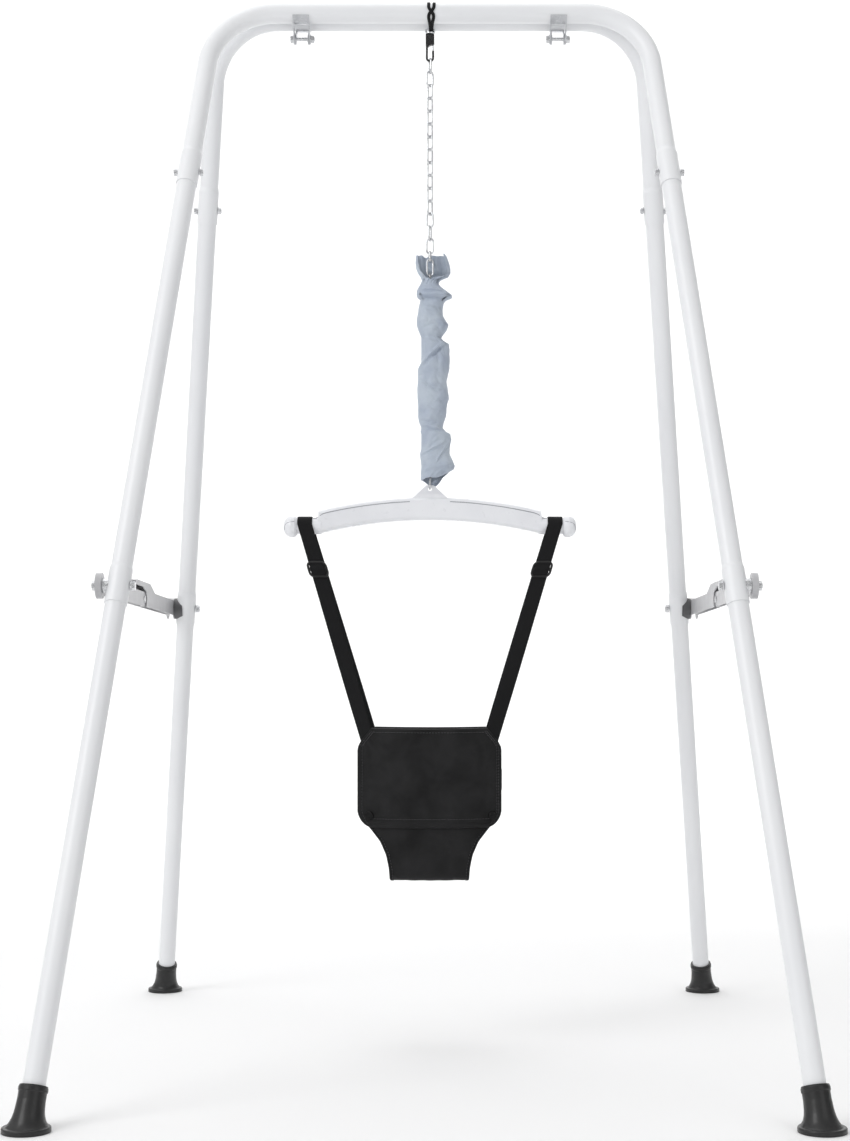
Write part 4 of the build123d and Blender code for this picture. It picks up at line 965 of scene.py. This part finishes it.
for s, sw in ((-1, "left"), (1, "right")):
    for sgn, face_ in ((-1, "front"), (1, "back")):
        top_shadow_line = []
        for x in np.linspace(0.027, 0.1423, 60):
            top_shadow_line.append((s * x, sgn * 0.00955, zc0 + math.sqrt(0.632 ** 2 - x * x) - 0.0054))
        for x, z_ in ((0.1462, 0.7170), (0.1490, 0.7145), (0.1530, 0.7128), (0.1570, 0.7120)):
            yb = 0.0093 if x < 0.150 else on_round(x, z_)[1] * -1
            top_shadow_line.append((s * x, sgn * yb, z_))
        top_shadow_line = smooth_path(resample(top_shadow_line, 0.002), 2)
        # a dark grey bead of painted shadow along the bar's parting line
        o = tube(f"spreader_shadow_line_{face_}_{sw}", top_shadow_line, 0.00052, M["spreader_shadow_line"], 8)
        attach(o, "spreader")
        # and one along the end cap's parting line, also painted shadow
        cap_shadow_line = [on_round(x, z_, sgn) for x, z_ in ((0.1815, 0.7079), (0.1850, 0.7073), (0.1890, 0.7066), (0.1925, 0.7052), (0.1945, 0.7030), (0.1951, 0.7000), (0.1951, 0.6968))]
        cap_shadow_line = smooth_path(resample([(s * a, b, c_) for a, b, c_ in cap_shadow_line], 0.0012), 2)
        o = tube(f"cap_shadow_line_{face_}_{sw}", cap_shadow_line, 0.00045, M["spreader_shadow_line"], 8)
        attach(o, "spreader")

# ------------------------------------------------------------------ floor, light, camera
def stage_mat(name, c, r):
    m = Mat(name, Specular_IOR_Level=0.2)
    co = m.obj()
    m.color(m.mix(m.map(m.noise(co, 1.5, 2), 0.3, 0.7, 0, 1), tuple(x * 0.992 for x in c), c))
    m.b.inputs["Roughness"].default_value = r
    m.bump(m.noise(co, 60, 2), 0.0004, 0.05)
    return m.m


# the floor runs up into a back wall through a wide curve, so there is no hard line behind the stand
sweep = [(-20.0, -0.0002), (5.0, -0.0002)]
sweep += [(5.0 + 2.5 * math.sin(a), -0.0002 + 2.5 * (1 - math.cos(a))) for a in np.linspace(0, pi / 2, 33)[1:]]
sweep += [(7.5, 9.0)]
V = [(x, a, b) for a, b in sweep for x in (-24, 24)]
F = [(2 * i, 2 * i + 1, 2 * i + 3, 2 * i + 2) for i in range(len(sweep) - 1)]
floor = mesh("floor", V, F, stage_mat("floor_paint", (0.93, 0.93, 0.932), 0.8))

world = bpy.data.worlds.new("studio")
world.use_nodes = True
wt = world.node_tree
bg = wt.nodes["Background"]
tcw = wt.nodes.new("ShaderNodeTexCoord")
sepw = wt.nodes.new("ShaderNodeSeparateXYZ")
wt.links.new(tcw.outputs["Generated"], sepw.inputs[0])


def wmath(op, a, b=0.0):
    n = wt.nodes.new("ShaderNodeMath")
    n.operation = op
    for i_, v_ in enumerate((a, b)):
        if hasattr(v_, "is_output"):
            wt.links.new(v_, n.inputs[i_])
        else:
            n.inputs[i_].default_value = v_
    return n.outputs[0]


room = wmath("ADD", wmath("MULTIPLY", sepw.outputs[0], -0.22), wmath("ADD", wmath("MULTIPLY", sepw.outputs[2], 0.16), 0.50))
rng = wt.nodes.new("ShaderNodeMapRange")
rng.interpolation_type = "SMOOTHSTEP"
wt.links.new(sepw.outputs[1], rng.inputs["Value"])
rng.inputs["From Min"].default_value = 0.55
rng.inputs["From Max"].default_value = 0.86
wall = wmath("MULTIPLY", rng.outputs["Result"], wmath("SUBTRACT", 0.97, room))
wt.links.new(wmath("ADD", room, wall), bg.inputs[1])
bg.inputs[0].default_value = (1.0, 1.0, 1.0, 1)
scene.world = world


def lamp(name, loc, target, size, power, color=(1, 1, 1)):
    d = bpy.data.lights.new(name, "AREA")
    d.shape = "RECTANGLE"
    d.size, d.size_y = size
    d.energy = power
    d.color = color
    o = bpy.data.objects.new(name, d)
    scene.collection.objects.link(o)
    o.location = loc
    o.rotation_euler = (Vector(target) - Vector(loc)).to_track_quat("-Z", "Y").to_euler()
    return o


lamp("key", (-3.0, -2.8, 3.2), (0, 0, 0.8), (2.2, 2.6), 62)
lamp("fill", (2.6, -3.4, 2.0), (0, 0, 0.7), (2.4, 3.0), 18)
lamp("top", (-0.4, 0.6, 4.2), (0, 0, 0.6), (3.0, 3.0), 34)
lamp("wall", (0, 3.2, 4.5), (0, 7.5, 2.5), (8.0, 2.0), 170)
lamp("far_floor", (0, 3.6, 3.4), (0, 3.61, 0), (8.0, 3.0), 56)

cam_d = bpy.data.cameras.new("camera")
cam = bpy.data.objects.new("camera", cam_d)
scene.collection.objects.link(cam)
cam_d.sensor_fit = "AUTO"
cam_d.sensor_width = 36.0
cam_d.lens = 1909.0 * 36.0 / 1141.0
cam_d.shift_x = -0.0252
cam_d.shift_y = 0.1124
cam_d.clip_start, cam_d.clip_end = 0.05, 60
cam.location = (0.032, -2.571, 0.470)
cam.rotation_euler = (pi / 2, 0, 0)
scene.camera = cam
scene.view_settings.view_transform = "Standard"
scene.view_settings.look = "None"
